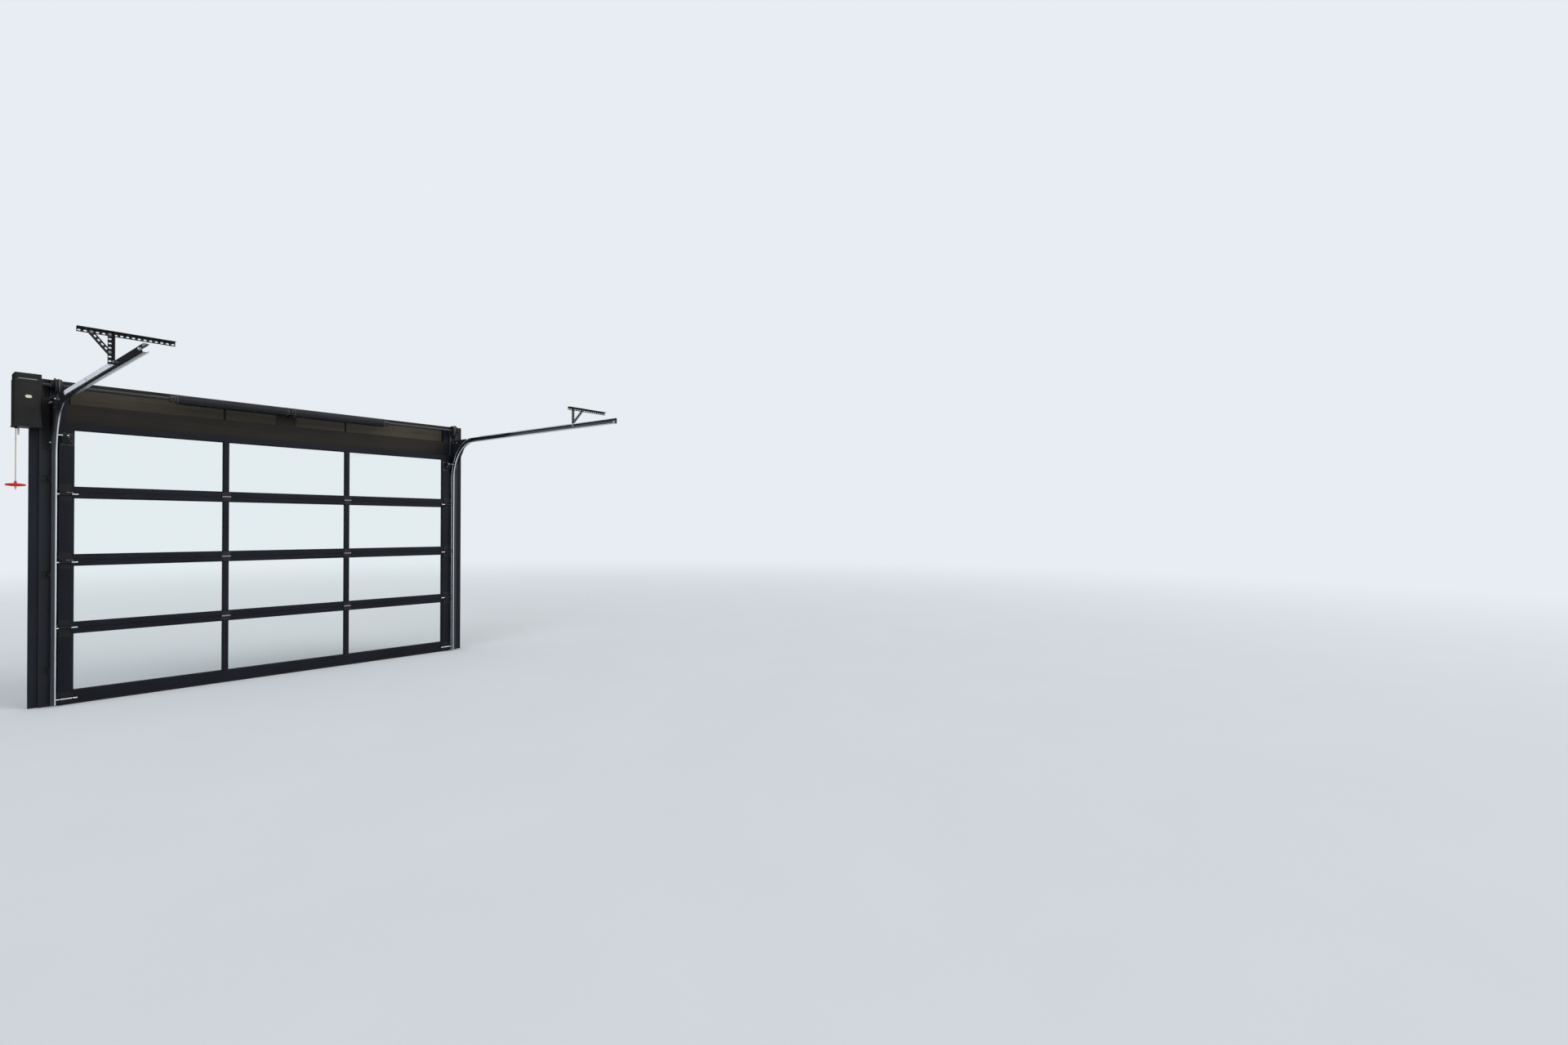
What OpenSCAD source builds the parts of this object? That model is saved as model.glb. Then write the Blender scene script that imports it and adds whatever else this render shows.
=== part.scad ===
// Glazed sectional overhead door, closed, with its track, torsion springs, drums and side opener.
// +X runs to the right seen from inside, +Y points outdoors and +Z points up.
// The origin is the centre of the head board's back face, which lies on the wall.
// The inside of the room is on the -Y side. Sizes are in millimetres.

/* [Leaf] */
// Width of the leaf
leaf_w = 3048; // [2400:1:3600]
// Thickness of the leaf's frame
leaf_t = 44.5; // [38:0.5:60]
// Clear height of one row of panes
daylight_h = 437.5; // [300:0.5:600]
// Number of panes across a section
panes = 3; // [2:1:4]
// Width of the stile at each end of a section
end_stile_w = 84; // [70:1:120]
// Width of the stile between two panes
centre_stile_w = 40; // [36:1:90]
// Height of the rail on each side of a joint between sections
meeting_rail_h = 42; // [36:0.5:70]
// Height of the rail along the bottom of the leaf
bottom_rail_h = 88; // [70:1:140]
// Height of the rail along the top of the leaf
top_rail_h = 51; // [40:1:100]
// Wall of the hollow rails and stiles
frame_wall = 2; // [1.5:0.1:3]
// Gap between two sections
joint_gap = 2.5; // [1.5:0.1:4]
// Radius of the tongue on top of a section
tongue_r = 9; // [6:0.5:12]
// How far the tongue stands above its section
tongue_rise = 4.5; // [3.5:0.5:6]
// Gap between a tongue and its groove
tongue_gap = 1.5; // [1:0.1:3]
// Height of the rubber seal below the leaf
seal_h = 19.5; // [15:0.5:40]
// Width of the rubber seal below the leaf
seal_w = 36; // [28:1:40]
// Thickness of the seal's flat top
seal_top_t = 5; // [3:0.5:8]
// Wall of the seal's hollow bulb
seal_wall = 3; // [2:0.5:5]

/* [Glass] */
// Thickness of a pane
glass_t = 6; // [4:0.5:12]
// How far a pane reaches behind its bead
glass_bite = 9; // [6:0.5:10]
// How far a pane's seat reaches into the rails and stiles
seat_reach = 11; // [10:0.5:16]
// Distance from the inside face of the leaf to the pane
glass_setback = 17; // [10:0.5:22]
// Gap between a pane and what holds it
glass_gap = 0.3; // [0.1:0.1:0.6]
// Gap round the outside of a glazing bead
bead_gap = 0.3; // [0.1:0.1:0.6]
// Width of the bevel along a glazing bead
bead_bevel = 6; // [2:0.5:9]

/* [Boards] */
// Thickness of the jamb boards and the head board
board_t = 38; // [30:1:60]
// Thickness of the narrow boards that carry the tracks
track_board_t = 19; // [15:1:40]
// Width of the narrow boards that carry the tracks
track_board_w = 84; // [76:1:120]
// Distance from the leaf's edge to the track board
track_board_gap = 17; // [10:1:30]
// Distance from the leaf's edge to the jamb board's outer edge
jamb_reach = 151; // [130:1:220]
// How far the jamb boards lie behind the leaf
jamb_lap = 49; // [25:1:60]
// How far the head board lies behind the leaf
head_lap = 32; // [24:1:60]
// Height of the head board
head_w = 184; // [160:1:240]
// Thickness of the panels over the head board
panel_t = 12; // [8:1:20]
// Thickness of the backing behind those panels
backing_t = 15; // [10:1:25]
// Height of the panels over the head board
panel_h = 130; // [110:1:160]
// Gap between two panels
panel_gap = 20; // [8:1:40]
// Height of the narrow board over the panels
upper_board_h = 42; // [20:1:80]
// Width of the pad behind the middle bearing
pad_w = 150; // [100:1:200]
// Distance from the door's centreline to the pad's centreline
pad_x = -18; // [-200:1:200]
// Thickness of the weather seal behind the leaf
weather_t = 6; // [4:0.5:10]
// Width of the weather seal behind the leaf
weather_w = 22; // [12:1:30]
// Gap at each end of the weather seal's top strip
seal_joint = 0.5; // [0.2:0.1:0.9]
// Gap between the boards and the ceiling
ceiling_gap = 8; // [2:1:20]

/* [Track] */
// Width of the track across its mouth
track_w = 48; // [44:1:60]
// Depth of the track from its web to its mouth
track_d = 30; // [28:1:36]
// Thickness of the track's steel
track_t = 2; // [1.5:0.1:3]
// Outer radius of the track's two corners
track_corner_r = 8; // [6:0.5:10]
// Radius of the rolled lips at the track's mouth
track_lip_r = 4; // [3:0.5:5]
// Distance from the leaf's edge to the track's mouth
track_gap = 14; // [10:1:20]
// Distance from the leaf's inside face to the roller stems
stem_setoff = 23; // [20:0.5:40]
// Radius of the track's curve at the middle of the rollers
curve_r = 400; // [300:1:450]
// Distance from the ceiling to the horizontal track's centre
hanger_drop = 185; // [160:1:300]
// Length of the straight part of the horizontal track
run_len = 2350; // [2150:1:3000]
// Gap between the floor and the foot of the track
track_foot = 16; // [5:1:28]

/* [Track fixings] */
// Thickness of the brackets' steel
bracket_t = 3; // [2:0.5:5]
// Width of a bracket's flange on the board
bracket_flange = 44; // [30:1:48]
// Height of a jamb bracket
bracket_h = 64; // [50:1:90]
// Height of the lowest jamb bracket's centre above the floor
bracket_low = 277; // [150:1:400]
// Distance between two jamb brackets
bracket_pitch = 728; // [500:1:760]
// Number of jamb brackets on each side
brackets = 3; // [2:1:3]
// Length of a bracket's slot
bracket_slot = 30; // [16:1:40]
// Width of the slots in brackets and angles
slot_w = 8; // [6:0.5:10]
// How far a corner plate reaches below the horizontal track's centre
plate_drop = 363; // [300:1:400]
// How far a corner plate reaches along the horizontal track
plate_reach = 235; // [150:1:350]
// How far a corner plate stands past the upright track
plate_lap = 12; // [5:1:20]
// Height of the straight edge at a corner plate's foot
plate_foot = 90; // [50:1:140]
// Thickness of all angles
angle_t = 2.5; // [2:0.1:4]
// Width of each leg of the angle along a horizontal track
track_angle_w = 32; // [26:1:40]
// Distance from the wall to the start of the angle along a horizontal track
track_angle_start = 660; // [600:10:1200]
// Width of each leg of the slotted angles
angle_w = 28; // [25:1:40]
// Distance between two slots in an angle
slot_pitch = 25.4; // [20:0.1:30]
// Length of a slot in an angle
slot_len = 14; // [10:1:16]
// Distance from an angle's free edge to its slots' centres
slot_edge = 9.5; // [9:0.5:12]
// Distance from an angle's end to its first slot's centre
slot_end = 10.5; // [9:0.5:14]
// Length of the angle fixed to the ceiling
ceiling_angle_len = 428; // [300:1:600]
// Distance from the wall to the hanger
hanger_y = 2215; // [1500:1:2500]
// Number of slots on the outer side of the left hanger leg
left_angle_slots = 5; // [4:1:8]
// Number of slots on the inner side of the right hanger leg
right_angle_slots = 2; // [1:1:6]
// Gap between the top of a hanger leg and the ceiling angle
leg_gap = 0.3; // [0.1:0.1:0.9]
// How far a hanger leg laps the track
leg_lap = 27; // [15:1:45]
// Width of a slanted brace
brace_w = 22; // [18:1:30]
// How many slots across the left and the right brace's end bolts lie apart
brace_across = [3, 4];
// How many slots down the left and the right brace's end bolts lie apart
brace_down = [4, 5];
// Distance from a brace's end bolt to its end
brace_end = 8; // [6:0.5:10]

/* [Hinges and rollers] */
// Width of a middle hinge
hinge_w = 60; // [40:1:90]
// Height of a middle hinge's leaf
hinge_h = 38; // [24:1:40]
// Thickness of the hinge steel
hinge_t = 2; // [1.5:0.1:4]
// Corner radius of the hinge leaves
hinge_corner_r = 6; // [3:0.5:10]
// Outer radius of a middle hinge's knuckle
knuckle_r = 6; // [5:0.5:9]
// Radius of a middle hinge's pin
pin_r = 3; // [2:0.1:4]
// Gap between a hinge's moving pieces
hinge_gap = 0.3; // [0.1:0.1:0.6]
// Width of an end hinge
end_hinge_w = 68; // [50:1:76]
// Height of an end hinge's leaf
end_hinge_h = 62; // [40:1:80]
// Distance from the leaf's edge to an end hinge
end_hinge_edge = 1; // [1:1:10]
// Height of an end hinge's cheek on its leaf
cheek_h = 36; // [20:1:50]
// How far each end hinge's roller tube lies below its joint, from the bottom joint up
tube_drop = [-6, 15, 15];
// Radius of a roller's stem
stem_r = 5.5; // [4:0.1:7]
// Length of a roller's stem
stem_len = 143; // [110:1:180]
// Length of the top roller's stem
top_stem_len = 87; // [70:1:140]
// Gap around a stem in its tube
stem_gap = 0.1; // [0.05:0.05:0.3]
// Wall of the tube that holds a stem
tube_wall = 2; // [1.5:0.1:4]
// Gap between the roller and each side of the track
roller_gap = 0.4; // [0.2:0.1:0.8]
// Width of a roller's tread
roller_w = 13; // [10:0.5:16]
// Distance from a roller's tread to the track's web
roller_side = 3; // [2:0.5:6]
// Radius of a roller's rounded edge
roller_edge = 3; // [1:0.5:4]
// Radius of a roller's hub
hub_r = 12; // [9:0.5:14]
// Depth of the recess round a roller's hub
hub_recess = 2; // [1:0.5:4]
// Height of the bottom roller above the floor
bottom_roller_z = 51; // [46:1:90]
// Distance from the leaf's top to the top roller
top_roller_drop = 100; // [60:1:150]
// Width of a bottom bracket on the leaf
foot_bracket_w = 84; // [60:1:90]
// Height of a bottom bracket
foot_bracket_h = 82; // [76:1:100]
// Height of a bottom bracket's ear on the leaf
ear_h = 40; // [30:1:56]
// Distance from a bottom bracket's side to its ear
ear_inset = 6; // [2:1:12]
// Height of the cable's pin above the floor
cable_pin_z = 76; // [60:1:90]
// Radius of the cable's pin
cable_pin_r = 5; // [4:0.5:6]
// Steel beside the cable's pin
pin_margin = 9; // [7:0.5:12]
// Distance from the leaf's edge to the top bracket
top_bracket_edge = 13; // [5:1:24]
// Thickness of the top bracket's bent carrier
carrier_t = 3; // [2:0.5:5]
// Width of the top bracket on the leaf
top_bracket_w = 71; // [50:1:80]
// Width of the top bracket at its roller
top_bracket_nose = 24; // [18:1:40]
// How far the top bracket reaches above its roller
top_bracket_up = 22; // [15:1:40]
// How far the top bracket reaches below its roller
top_bracket_down = 70; // [40:1:100]

/* [Shaft and springs] */
// Radius of the torsion shaft
shaft_r = 12.7; // [12.7:0.1:16]
// Wall of the torsion shaft
shaft_wall = 2.4; // [2:0.1:5]
// Distance from the head board's top edge to the shaft
shaft_rise = 120; // [100:1:150]
// Distance from the board's face to the shaft
shaft_setoff = 86; // [80:1:130]
// How far the shaft reaches past the leaf's right edge
shaft_end = 70; // [60:1:100]
// Gap between the shaft and what it turns in
bearing_gap = 0.3; // [0.1:0.1:0.8]
// Radius of a spring's outside
spring_r = 41; // [34:1:48]
// Radius of a spring's wire
wire_r = 3.6; // [3:0.1:5]
// Length of each spring
spring_len = 780; // [500:1:1000]
// Distance from the middle bearing to each spring
spring_start = 34; // [25:1:80]
// Gap between a cone and its spring
cone_gap = 0.3; // [0.1:0.1:0.6]
// How far a cone reaches into its spring
plug_len = 40; // [20:1:60]
// Thickness of a cone's flange
cone_flange = 9; // [6:1:14]
// Length of the slope from a cone's flange to its hub
cone_slope = 4; // [2:0.5:8]
// Length of a winding cone outside its spring
cone_len = 52; // [40:1:80]
// Radius of a cone's hub
cone_hub_r = 26; // [20:1:30]
// Radius of the four sockets in a winding cone
socket_r = 6.5; // [5:0.5:8]
// Depth of a winding cone's sockets
socket_depth = 9; // [5:0.5:11]
// Radius of a cable drum where the cable winds
drum_r = 51; // [40:1:60]
// Width of a cable drum
drum_w = 38; // [30:1:60]
// How far a drum's rim stands above its grooves
drum_rim = 7; // [5:1:12]
// Thickness of a drum's rim and web
drum_web = 6; // [4:0.5:10]
// Wall under a drum's grooves
drum_wall = 5; // [4:0.5:8]
// Depth of a drum's grooves
groove_depth = 1.2; // [0.6:0.1:2]
// Radius of a drum's hub
drum_hub_r = 22; // [18:1:30]
// How far a drum's hub stands out
drum_hub_len = 14; // [8:1:30]
// Radius of a lift cable
cable_r = 1.6; // [1:0.1:3]
// Gap between a lift cable and what it winds on
cable_gap = 0.3; // [0.1:0.1:0.6]
// Distance from the leaf's edge to a lift cable
cable_side = 7; // [5:0.5:9]
// Angle that a cable's loop and its last turn leave open
loop_gap = 20; // [10:1:40]
// Turns of cable left on a drum when the door is shut
cable_turns = 2; // [1:1:4]
// Radius of the sleeve that closes a cable's loop
sleeve_r = 3.4; // [2.5:0.1:4]
// Length of the sleeve that closes a cable's loop
sleeve_len = 16; // [10:1:24]
// Gap between the track's web and an end bearing plate
bearing_side = 6; // [4:1:12]
// Radius of a bearing's ring
bearing_r = 24; // [20:1:30]
// Width of an end bearing's ring
bearing_w = 18; // [10:1:22]
// Width of the middle bearing's ring
bearing_t = 10; // [6:1:20]
// Margin of a bearing plate round its ring
bearing_margin = 10; // [6:1:20]
// Width of a bearing plate's flange
bearing_flange = 26; // [20:1:40]

/* [Opener] */
// Width of the opener's housing
opener_w = 142; // [120:1:180]
// Height of the opener's housing
opener_h = 392; // [370:1:395]
// Depth of the opener's housing
opener_d = 170; // [150:1:230]
// Distance from the leaf's edge to the opener
opener_gap = 104; // [96:1:150]
// Distance from the jamb board to the opener's back
opener_setoff = 22; // [22:1:60]
// Distance from the shaft down to the opener's lower end
opener_drop = 336; // [300:1:350]
// Radius of the opener's upright corners
opener_corner_r = 14; // [8:1:25]
// Height of the opener's set-back cap
cap_h = 42; // [20:1:60]
// How far the opener's cap is set back
cap_inset = 3; // [1:0.5:6]
// Height of the lip round the opener's lower end
lip_h = 10; // [5:1:20]
// How far the opener's lip stands out
lip_out = 3; // [1:0.5:6]
// Width of the seam between the opener's base and cover
seam_w = 2; // [1:0.5:4]
// Depth of the opener's base behind its seam
base_d = 40; // [20:1:80]
// Width of the lens on the opener's front
lens_w = 36; // [30:1:60]
// Height of the lens on the opener's front
lens_h = 24; // [12:1:30]
// Depth of the lens's recess
lens_depth = 3; // [2:0.5:6]
// Distance from the opener's top to the lens
lens_drop = 170; // [120:1:250]
// Thickness of the opener's bracket
opener_bracket_t = 4; // [3:0.5:6]
// Gap between the bracket's ends and the opener's ends
opener_bracket_end = 30; // [10:1:80]
// Radius of the boss that the release cord leaves
boss_r = 8; // [6:0.5:12]
// Length of the boss that the release cord leaves
boss_len = 12; // [8:1:20]
// Distance from the opener's left side to the boss's centre
boss_side = 16; // [13:1:40]
// Distance from the opener's back to the boss's centre
boss_back = 85; // [20:1:120]
// Radius of the release cord
cord_r = 3; // [2:0.5:4]
// Width of the release handle
handle_w = 104; // [80:1:120]
// Radius of the handle's grip in the middle
handle_r = 12; // [8:1:16]
// Radius of the handle's grip at its ends
handle_tip_r = 6; // [4:0.5:8]
// Height of the neck over the handle's grip
neck_h = 16; // [8:1:30]
// Radius of the neck's top
neck_r = 6; // [4:0.5:9]

/* [Hidden] */
$fn = 48;
eps = 0.01;
half_w = leaf_w / 2;

// Depths from the wall, out of which the leaf, its glass and its seals are drawn
leaf_back = -board_t - weather_t;
leaf_front = leaf_back - leaf_t;
leaf_mid = leaf_front + leaf_t / 2;
glass_front = leaf_front + glass_setback;
glass_back = glass_front + glass_t;
seat_back = glass_back + glass_gap;
lip_y = seat_back + frame_wall;
track_board_face = -board_t - track_board_t;
stem_y = leaf_front - stem_setoff;
shaft_y = -board_t - shaft_setoff;

// Panes and sections
pane_w = (leaf_w - 2 * end_stile_w - (panes - 1) * centre_stile_w) / panes;
pane_pitch = pane_w + centre_stile_w;
bottom_section_h = bottom_rail_h + daylight_h + meeting_rail_h;
section_h = 2 * meeting_rail_h + daylight_h;
top_section_h = meeting_rail_h + daylight_h + top_rail_h;

// Heights above the floor, from the leaf's bottom up to the ceiling
bottom_z = seal_h;
second_z = bottom_z + bottom_section_h + joint_gap;
third_z = second_z + section_h + joint_gap;
top_z = third_z + section_h + joint_gap;
leaf_top = top_z + top_section_h;
joints = [for (z = [second_z, third_z, top_z]) z - joint_gap / 2];
head_top = leaf_top - head_lap + head_w;
boards_top = head_top + panel_h + upper_board_h;
ceiling_h = boards_top + ceiling_gap;
track_h = ceiling_h - hanger_drop;
shaft_z = head_top + shaft_rise;
opener_z = shaft_z - opener_drop;
origin_h = head_top - head_w / 2;

// Boards
jamb_outer = half_w + jamb_reach;
jamb_inner = half_w - jamb_lap;
pad_left = pad_x - pad_w / 2;
pad_right = pad_x + pad_w / 2;

// Track, seen from the right side of the door
web_x = half_w + track_gap + track_d;
curve_z = track_h - curve_r;
curve_y = stem_y - curve_r;
track_top = track_h + track_w / 2;
plate_end = stem_y - plate_reach;
leg_foot = track_top - leg_lap;
leg_top = ceiling_h - angle_t - leg_gap;
leg_slot_x = web_x + angle_w - slot_edge;
slot_row_z = ceiling_h - angle_w + slot_edge;
bracket_z = [for (i = [0:brackets - 1]) bracket_low + i * bracket_pitch];

// Rollers: distance from the wall, height and stem length. The top one runs in the track's curve.
roller_r = track_w / 2 - track_t - roller_gap;
roller_out = web_x - track_t - roller_side;
tube_r = stem_r + stem_gap + tube_wall;
top_roller_z = leaf_top - top_roller_drop;
top_stem_y = curve_y + sqrt(pow(curve_r, 2) - pow(top_roller_z - curve_z, 2));
rollers = concat(
    [[stem_y, bottom_roller_z, stem_len]],
    [for (i = [0:len(joints) - 1]) [stem_y, joints[i] - tube_drop[i], stem_len]],
    [[top_stem_y, top_roller_z, top_stem_len]]);

// Shaft, drums and cables
plate_x = web_x + bearing_side;
drum_face = plate_x - bearing_w - bearing_gap;
cable_x = half_w + cable_side;
groove = 2 * (cable_r + cable_gap);
wrap_r = drum_r + cable_gap + cable_r;
cable_y = shaft_y + wrap_r;
loop_r = cable_pin_r + cable_gap + cable_r;
shaft_bore = shaft_r + bearing_gap;

// Opener
opener_right = -half_w - opener_gap;
opener_left = opener_right - opener_w;
opener_back = -board_t - opener_setoff;
opener_front = opener_back - opener_d;

// Points of the release cord, counted from the end of the opener's boss down to the handle
cord_route = [
    [0, 0, 0], [0, 0, -16], [0, 0, -32], [0, 0, -48], [0, 0, -64], [0, 0, -80], [0, 0, -96],
    [0, 0, -112], [0, 0, -128], [0, 0, -144], [0, 0, -160], [0, 0, -176], [0, 0, -192],
    [0, 0, -208], [0, 0, -224], [0, 0, -240], [0, 0, -256], [0, 0, -272], [0, 0, -288],
    [0, 0, -304], [0, 0, -320], [0, 0, -336], [0, 0, -352], [0, 0, -368], [0, 0, -386]];
cord_start = [opener_left + boss_side, opener_back - boss_back, opener_z - boss_len];
cord_end = cord_start + cord_route[len(cord_route) - 1];

// Moves what is drawn from the floor so that the origin is on the head board
module from_floor() { translate([0, 0, -origin_h]) children(); }

// Draws its children on the right and their mirror image on the left
module both_sides() {
    children();
    mirror([1, 0, 0]) children();
}

// Draws a profile of y and z, run along x from x0 for a length
module along_x(x0, len) { translate([x0, 0, 0]) rotate([90, 0, 90]) linear_extrude(len) children(); }

// Draws a profile of x and z, run along y from y0 for a length towards the wall
module along_y(y0, len) { translate([0, y0 + len, 0]) rotate([90, 0, 0]) linear_extrude(len) children(); }

// A cylinder with its axis along x
module rod(r, len) { rotate([0, 90, 0]) cylinder(r = r, h = len); }

// Rectangle from the origin with rounded corners at its far end, away from y = 0
module tab(w, h, r) {
    square([w, h - r]);
    translate([r, 0]) square([w - 2 * r, h]);
    for (x = [r, w - r]) translate([x, h - r]) circle(r);
}

// A slot along x, centred on the origin
module slot(len, w) {
    for (s = [-1, 1]) translate([s * (len - w) / 2, 0]) circle(w / 2, $fn = 24);
    square([len - w, w], center = true);
}

// Leaf: hollow rails between end stiles, panes in seats that open to the inside, and beads

// Boxes round the panes of a row whose glass starts at height z
module pane_boxes(z, reach, y0, y1) {
    for (i = [0:panes - 1])
        translate([-half_w + end_stile_w + i * pane_pitch - reach, y0, z - reach])
            cube([pane_w + 2 * reach, y1 - y0, daylight_h + 2 * reach]);
}

module seats(z) { pane_boxes(z, seat_reach, leaf_front - eps, seat_back); }

module rail_outline(h, joint) {
    tongue_z = tongue_rise - tongue_r;
    difference() {
        union() {
            translate([leaf_front, 0]) square([leaf_t, h]);
            if (joint == "tongue") translate([leaf_mid, h + tongue_z]) circle(tongue_r);
        }
        if (joint == "groove") translate([leaf_mid, tongue_z - joint_gap]) circle(tongue_r + tongue_gap);
    }
}

// The hollow inside a rail, shallower where the pane's seat is
module rail_chamber(h, glazed_above, joint) {
    groove_top = joint == "groove" ? tongue_rise + tongue_gap - joint_gap : 0;
    low = (glazed_above ? groove_top : seat_reach) + frame_wall;
    high = h - (glazed_above ? seat_reach : 0) - frame_wall;
    lip_low = glazed_above ? low : frame_wall;
    lip_high = glazed_above ? h - frame_wall : high;
    translate([leaf_front + frame_wall, low]) square([leaf_t - 2 * frame_wall, high - low]);
    translate([lip_y, lip_low]) square([leaf_back - frame_wall - lip_y, lip_high - lip_low]);
}

module rail(z, h, glazed_above, joint) {
    len = leaf_w - 2 * end_stile_w;
    translate([0, 0, z]) difference() {
        along_x(-len / 2, len) rail_outline(h, joint);
        along_x(-len / 2 - eps, len + 2 * eps) rail_chamber(h, glazed_above, joint);
    }
}

// The two rails of a section that starts at height z
module rails(z, low_h, low_joint, high_h, high_joint) {
    from_floor() difference() {
        union() {
            rail(z, low_h, true, low_joint);
            rail(z + low_h + daylight_h, high_h, false, high_joint);
        }
        seats(z + low_h);
    }
}

// A hollow stile from x0, shallower on the sides that hold a pane
module stile(x0, w, left_pane, right_pane) {
    left = left_pane ? seat_reach : 0;
    right = right_pane ? seat_reach : 0;
    difference() {
        translate([x0, leaf_front]) square([w, leaf_t]);
        translate([x0 + left + frame_wall, leaf_front + frame_wall])
            square([w - left - right - 2 * frame_wall, leaf_t - 2 * frame_wall]);
        translate([x0 + frame_wall, lip_y]) square([w - 2 * frame_wall, leaf_back - frame_wall - lip_y]);
    }
}

// Bevelled ring that holds each pane in its seat, with mitred corners
module beads(z) {
    depth = glass_setback - glass_gap;
    for (i = [0:panes - 1])
        translate([-half_w + end_stile_w + i * pane_pitch + pane_w / 2, leaf_front, z + daylight_h / 2])
            difference() {
                reach = seat_reach - bead_gap;
                translate([-pane_w / 2 - reach, 0, -daylight_h / 2 - reach])
                    cube([pane_w + 2 * reach, depth, daylight_h + 2 * reach]);
                intersection() {
                    translate([0, 0, -daylight_h]) linear_extrude(2 * daylight_h) bead_opening(pane_w, depth);
                    along_x(-pane_w, 2 * pane_w) mirror([1, -1]) bead_opening(daylight_h, depth);
                }
            }
}

// Opening of a bead, wider by the bevel at y = 0, the inside face
module bead_opening(w, depth) {
    polygon([
        [-w / 2 - bead_bevel - eps, -eps], [w / 2 + bead_bevel + eps, -eps], [w / 2, bead_bevel],
        [w / 2, depth + eps], [-w / 2, depth + eps], [-w / 2, bead_bevel]]);
}

// The stiles and beads of a section that starts at height z, whose glass starts at glass_z
module stiles(z, h, glass_z) {
    from_floor() {
        difference() {
            union() {
                translate([0, 0, z]) linear_extrude(h) {
                    stile(-half_w, end_stile_w, false, true);
                    stile(half_w - end_stile_w, end_stile_w, true, false);
                }
                translate([-half_w + end_stile_w - centre_stile_w, 0, glass_z]) linear_extrude(daylight_h)
                    for (i = [1:panes - 1]) stile(i * pane_pitch, centre_stile_w, true, true);
            }
            seats(glass_z);
        }
        beads(glass_z);
    }
}

module glass(z) { from_floor() pane_boxes(z, glass_bite, glass_front, glass_back); }

module bottom_section_rails() {
    color("#1b1c21") rails(bottom_z, bottom_rail_h, "none", meeting_rail_h, "tongue");
}
module bottom_section_stiles() {
    color("#1b1c21") stiles(bottom_z, bottom_section_h, bottom_z + bottom_rail_h);
}
module bottom_section_glass() { color("#a9c4c8", 0.35) glass(bottom_z + bottom_rail_h); }

module second_section_rails() {
    color("#1b1c21") rails(second_z, meeting_rail_h, "groove", meeting_rail_h, "tongue");
}
module second_section_stiles() { color("#1b1c21") stiles(second_z, section_h, second_z + meeting_rail_h); }
module second_section_glass() { color("#a9c4c8", 0.35) glass(second_z + meeting_rail_h); }

module third_section_rails() {
    color("#1b1c21") rails(third_z, meeting_rail_h, "groove", meeting_rail_h, "tongue");
}
module third_section_stiles() { color("#1b1c21") stiles(third_z, section_h, third_z + meeting_rail_h); }
module third_section_glass() { color("#a9c4c8", 0.35) glass(third_z + meeting_rail_h); }

module top_section_rails() {
    color("#1b1c21") rails(top_z, meeting_rail_h, "groove", top_rail_h, "none");
}
module top_section_stiles() { color("#1b1c21") stiles(top_z, top_section_h, top_z + meeting_rail_h); }
module top_section_glass() { color("#a9c4c8", 0.35) glass(top_z + meeting_rail_h); }

// Hollow rubber seal under the leaf, hung from a flat top
module bottom_seal() {
    bulb_r = seal_h / 2;
    module bulb(r) {
        for (s = [-1, 1]) translate([s * (seal_w / 2 - bulb_r), bulb_r]) circle(r);
        translate([bulb_r - seal_w / 2, bulb_r - r]) square([seal_w - 2 * bulb_r, 2 * r]);
    }
    color("#101012") from_floor() along_x(-half_w, leaf_w) translate([leaf_mid, 0]) {
        difference() {
            bulb(bulb_r);
            bulb(bulb_r - seal_wall);
        }
        translate([-seal_w / 2, seal_h - seal_top_t]) square([seal_w, seal_top_t]);
    }
}

// Boards round the opening

module jamb_board() {
    color("#26262a") from_floor() translate([jamb_inner, -board_t, 0])
        cube([jamb_outer - jamb_inner, board_t, boards_top]);
}
module left_jamb_board() { mirror([1, 0, 0]) jamb_board(); }
module right_jamb_board() { jamb_board(); }

module track_boards() {
    color("#1d1e24") from_floor() both_sides()
        translate([half_w + track_board_gap, track_board_face, 0])
            cube([track_board_w, track_board_t, boards_top]);
}

module head_board() {
    color("#26231f") from_floor() translate([-jamb_inner, -board_t, head_top - head_w])
        cube([2 * jamb_inner, board_t, head_w]);
}

module spring_pad() {
    color("#2a2723") from_floor() translate([pad_left, -board_t, head_top])
        cube([pad_w, board_t, boards_top - head_top]);
}

// Panels on both sides of the pad, cut in line with the centre stiles
module header_panels() {
    cut = pane_w / 2 + centre_stile_w / 2;
    for (run = [[-jamb_inner + panel_gap, -cut - panel_gap / 2], [-cut + panel_gap / 2, pad_left],
            [pad_right, cut - panel_gap / 2], [cut + panel_gap / 2, jamb_inner - panel_gap]])
        color("#4a4742") from_floor() translate([run[0], -backing_t - panel_t, head_top])
            cube([run[1] - run[0], panel_t, panel_h]);
}

// Board over the panels, with the thinner backing that they are fixed to
module upper_head_board() {
    color("#1e1d1c") from_floor() for (run = [[-jamb_inner, pad_left], [pad_right, jamb_inner]])
        along_x(run[0], run[1] - run[0]) {
            translate([-backing_t, head_top]) square([backing_t, panel_h]);
            translate([-board_t, head_top + panel_h]) square([board_t, upper_board_h]);
        }
}

// Weather seal between the leaf and the boards, on three sides
module perimeter_seal() {
    color("#0f0f11") from_floor() {
        both_sides() translate([half_w - weather_w, leaf_back, 0]) cube([weather_w, weather_t, leaf_top]);
        translate([-half_w + weather_w + seal_joint, leaf_back, leaf_top - weather_w])
            cube([leaf_w - 2 * weather_w - 2 * seal_joint, weather_t, weather_w]);
    }
}

// Track, rolled from one strip of steel

// Points on an arc round a centre
function arc(c, r, from, to, steps) =
    [for (i = [0:steps]) let (a = from + (to - from) * i / steps) [c[0] + r * cos(a), c[1] + r * sin(a)]];

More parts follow.
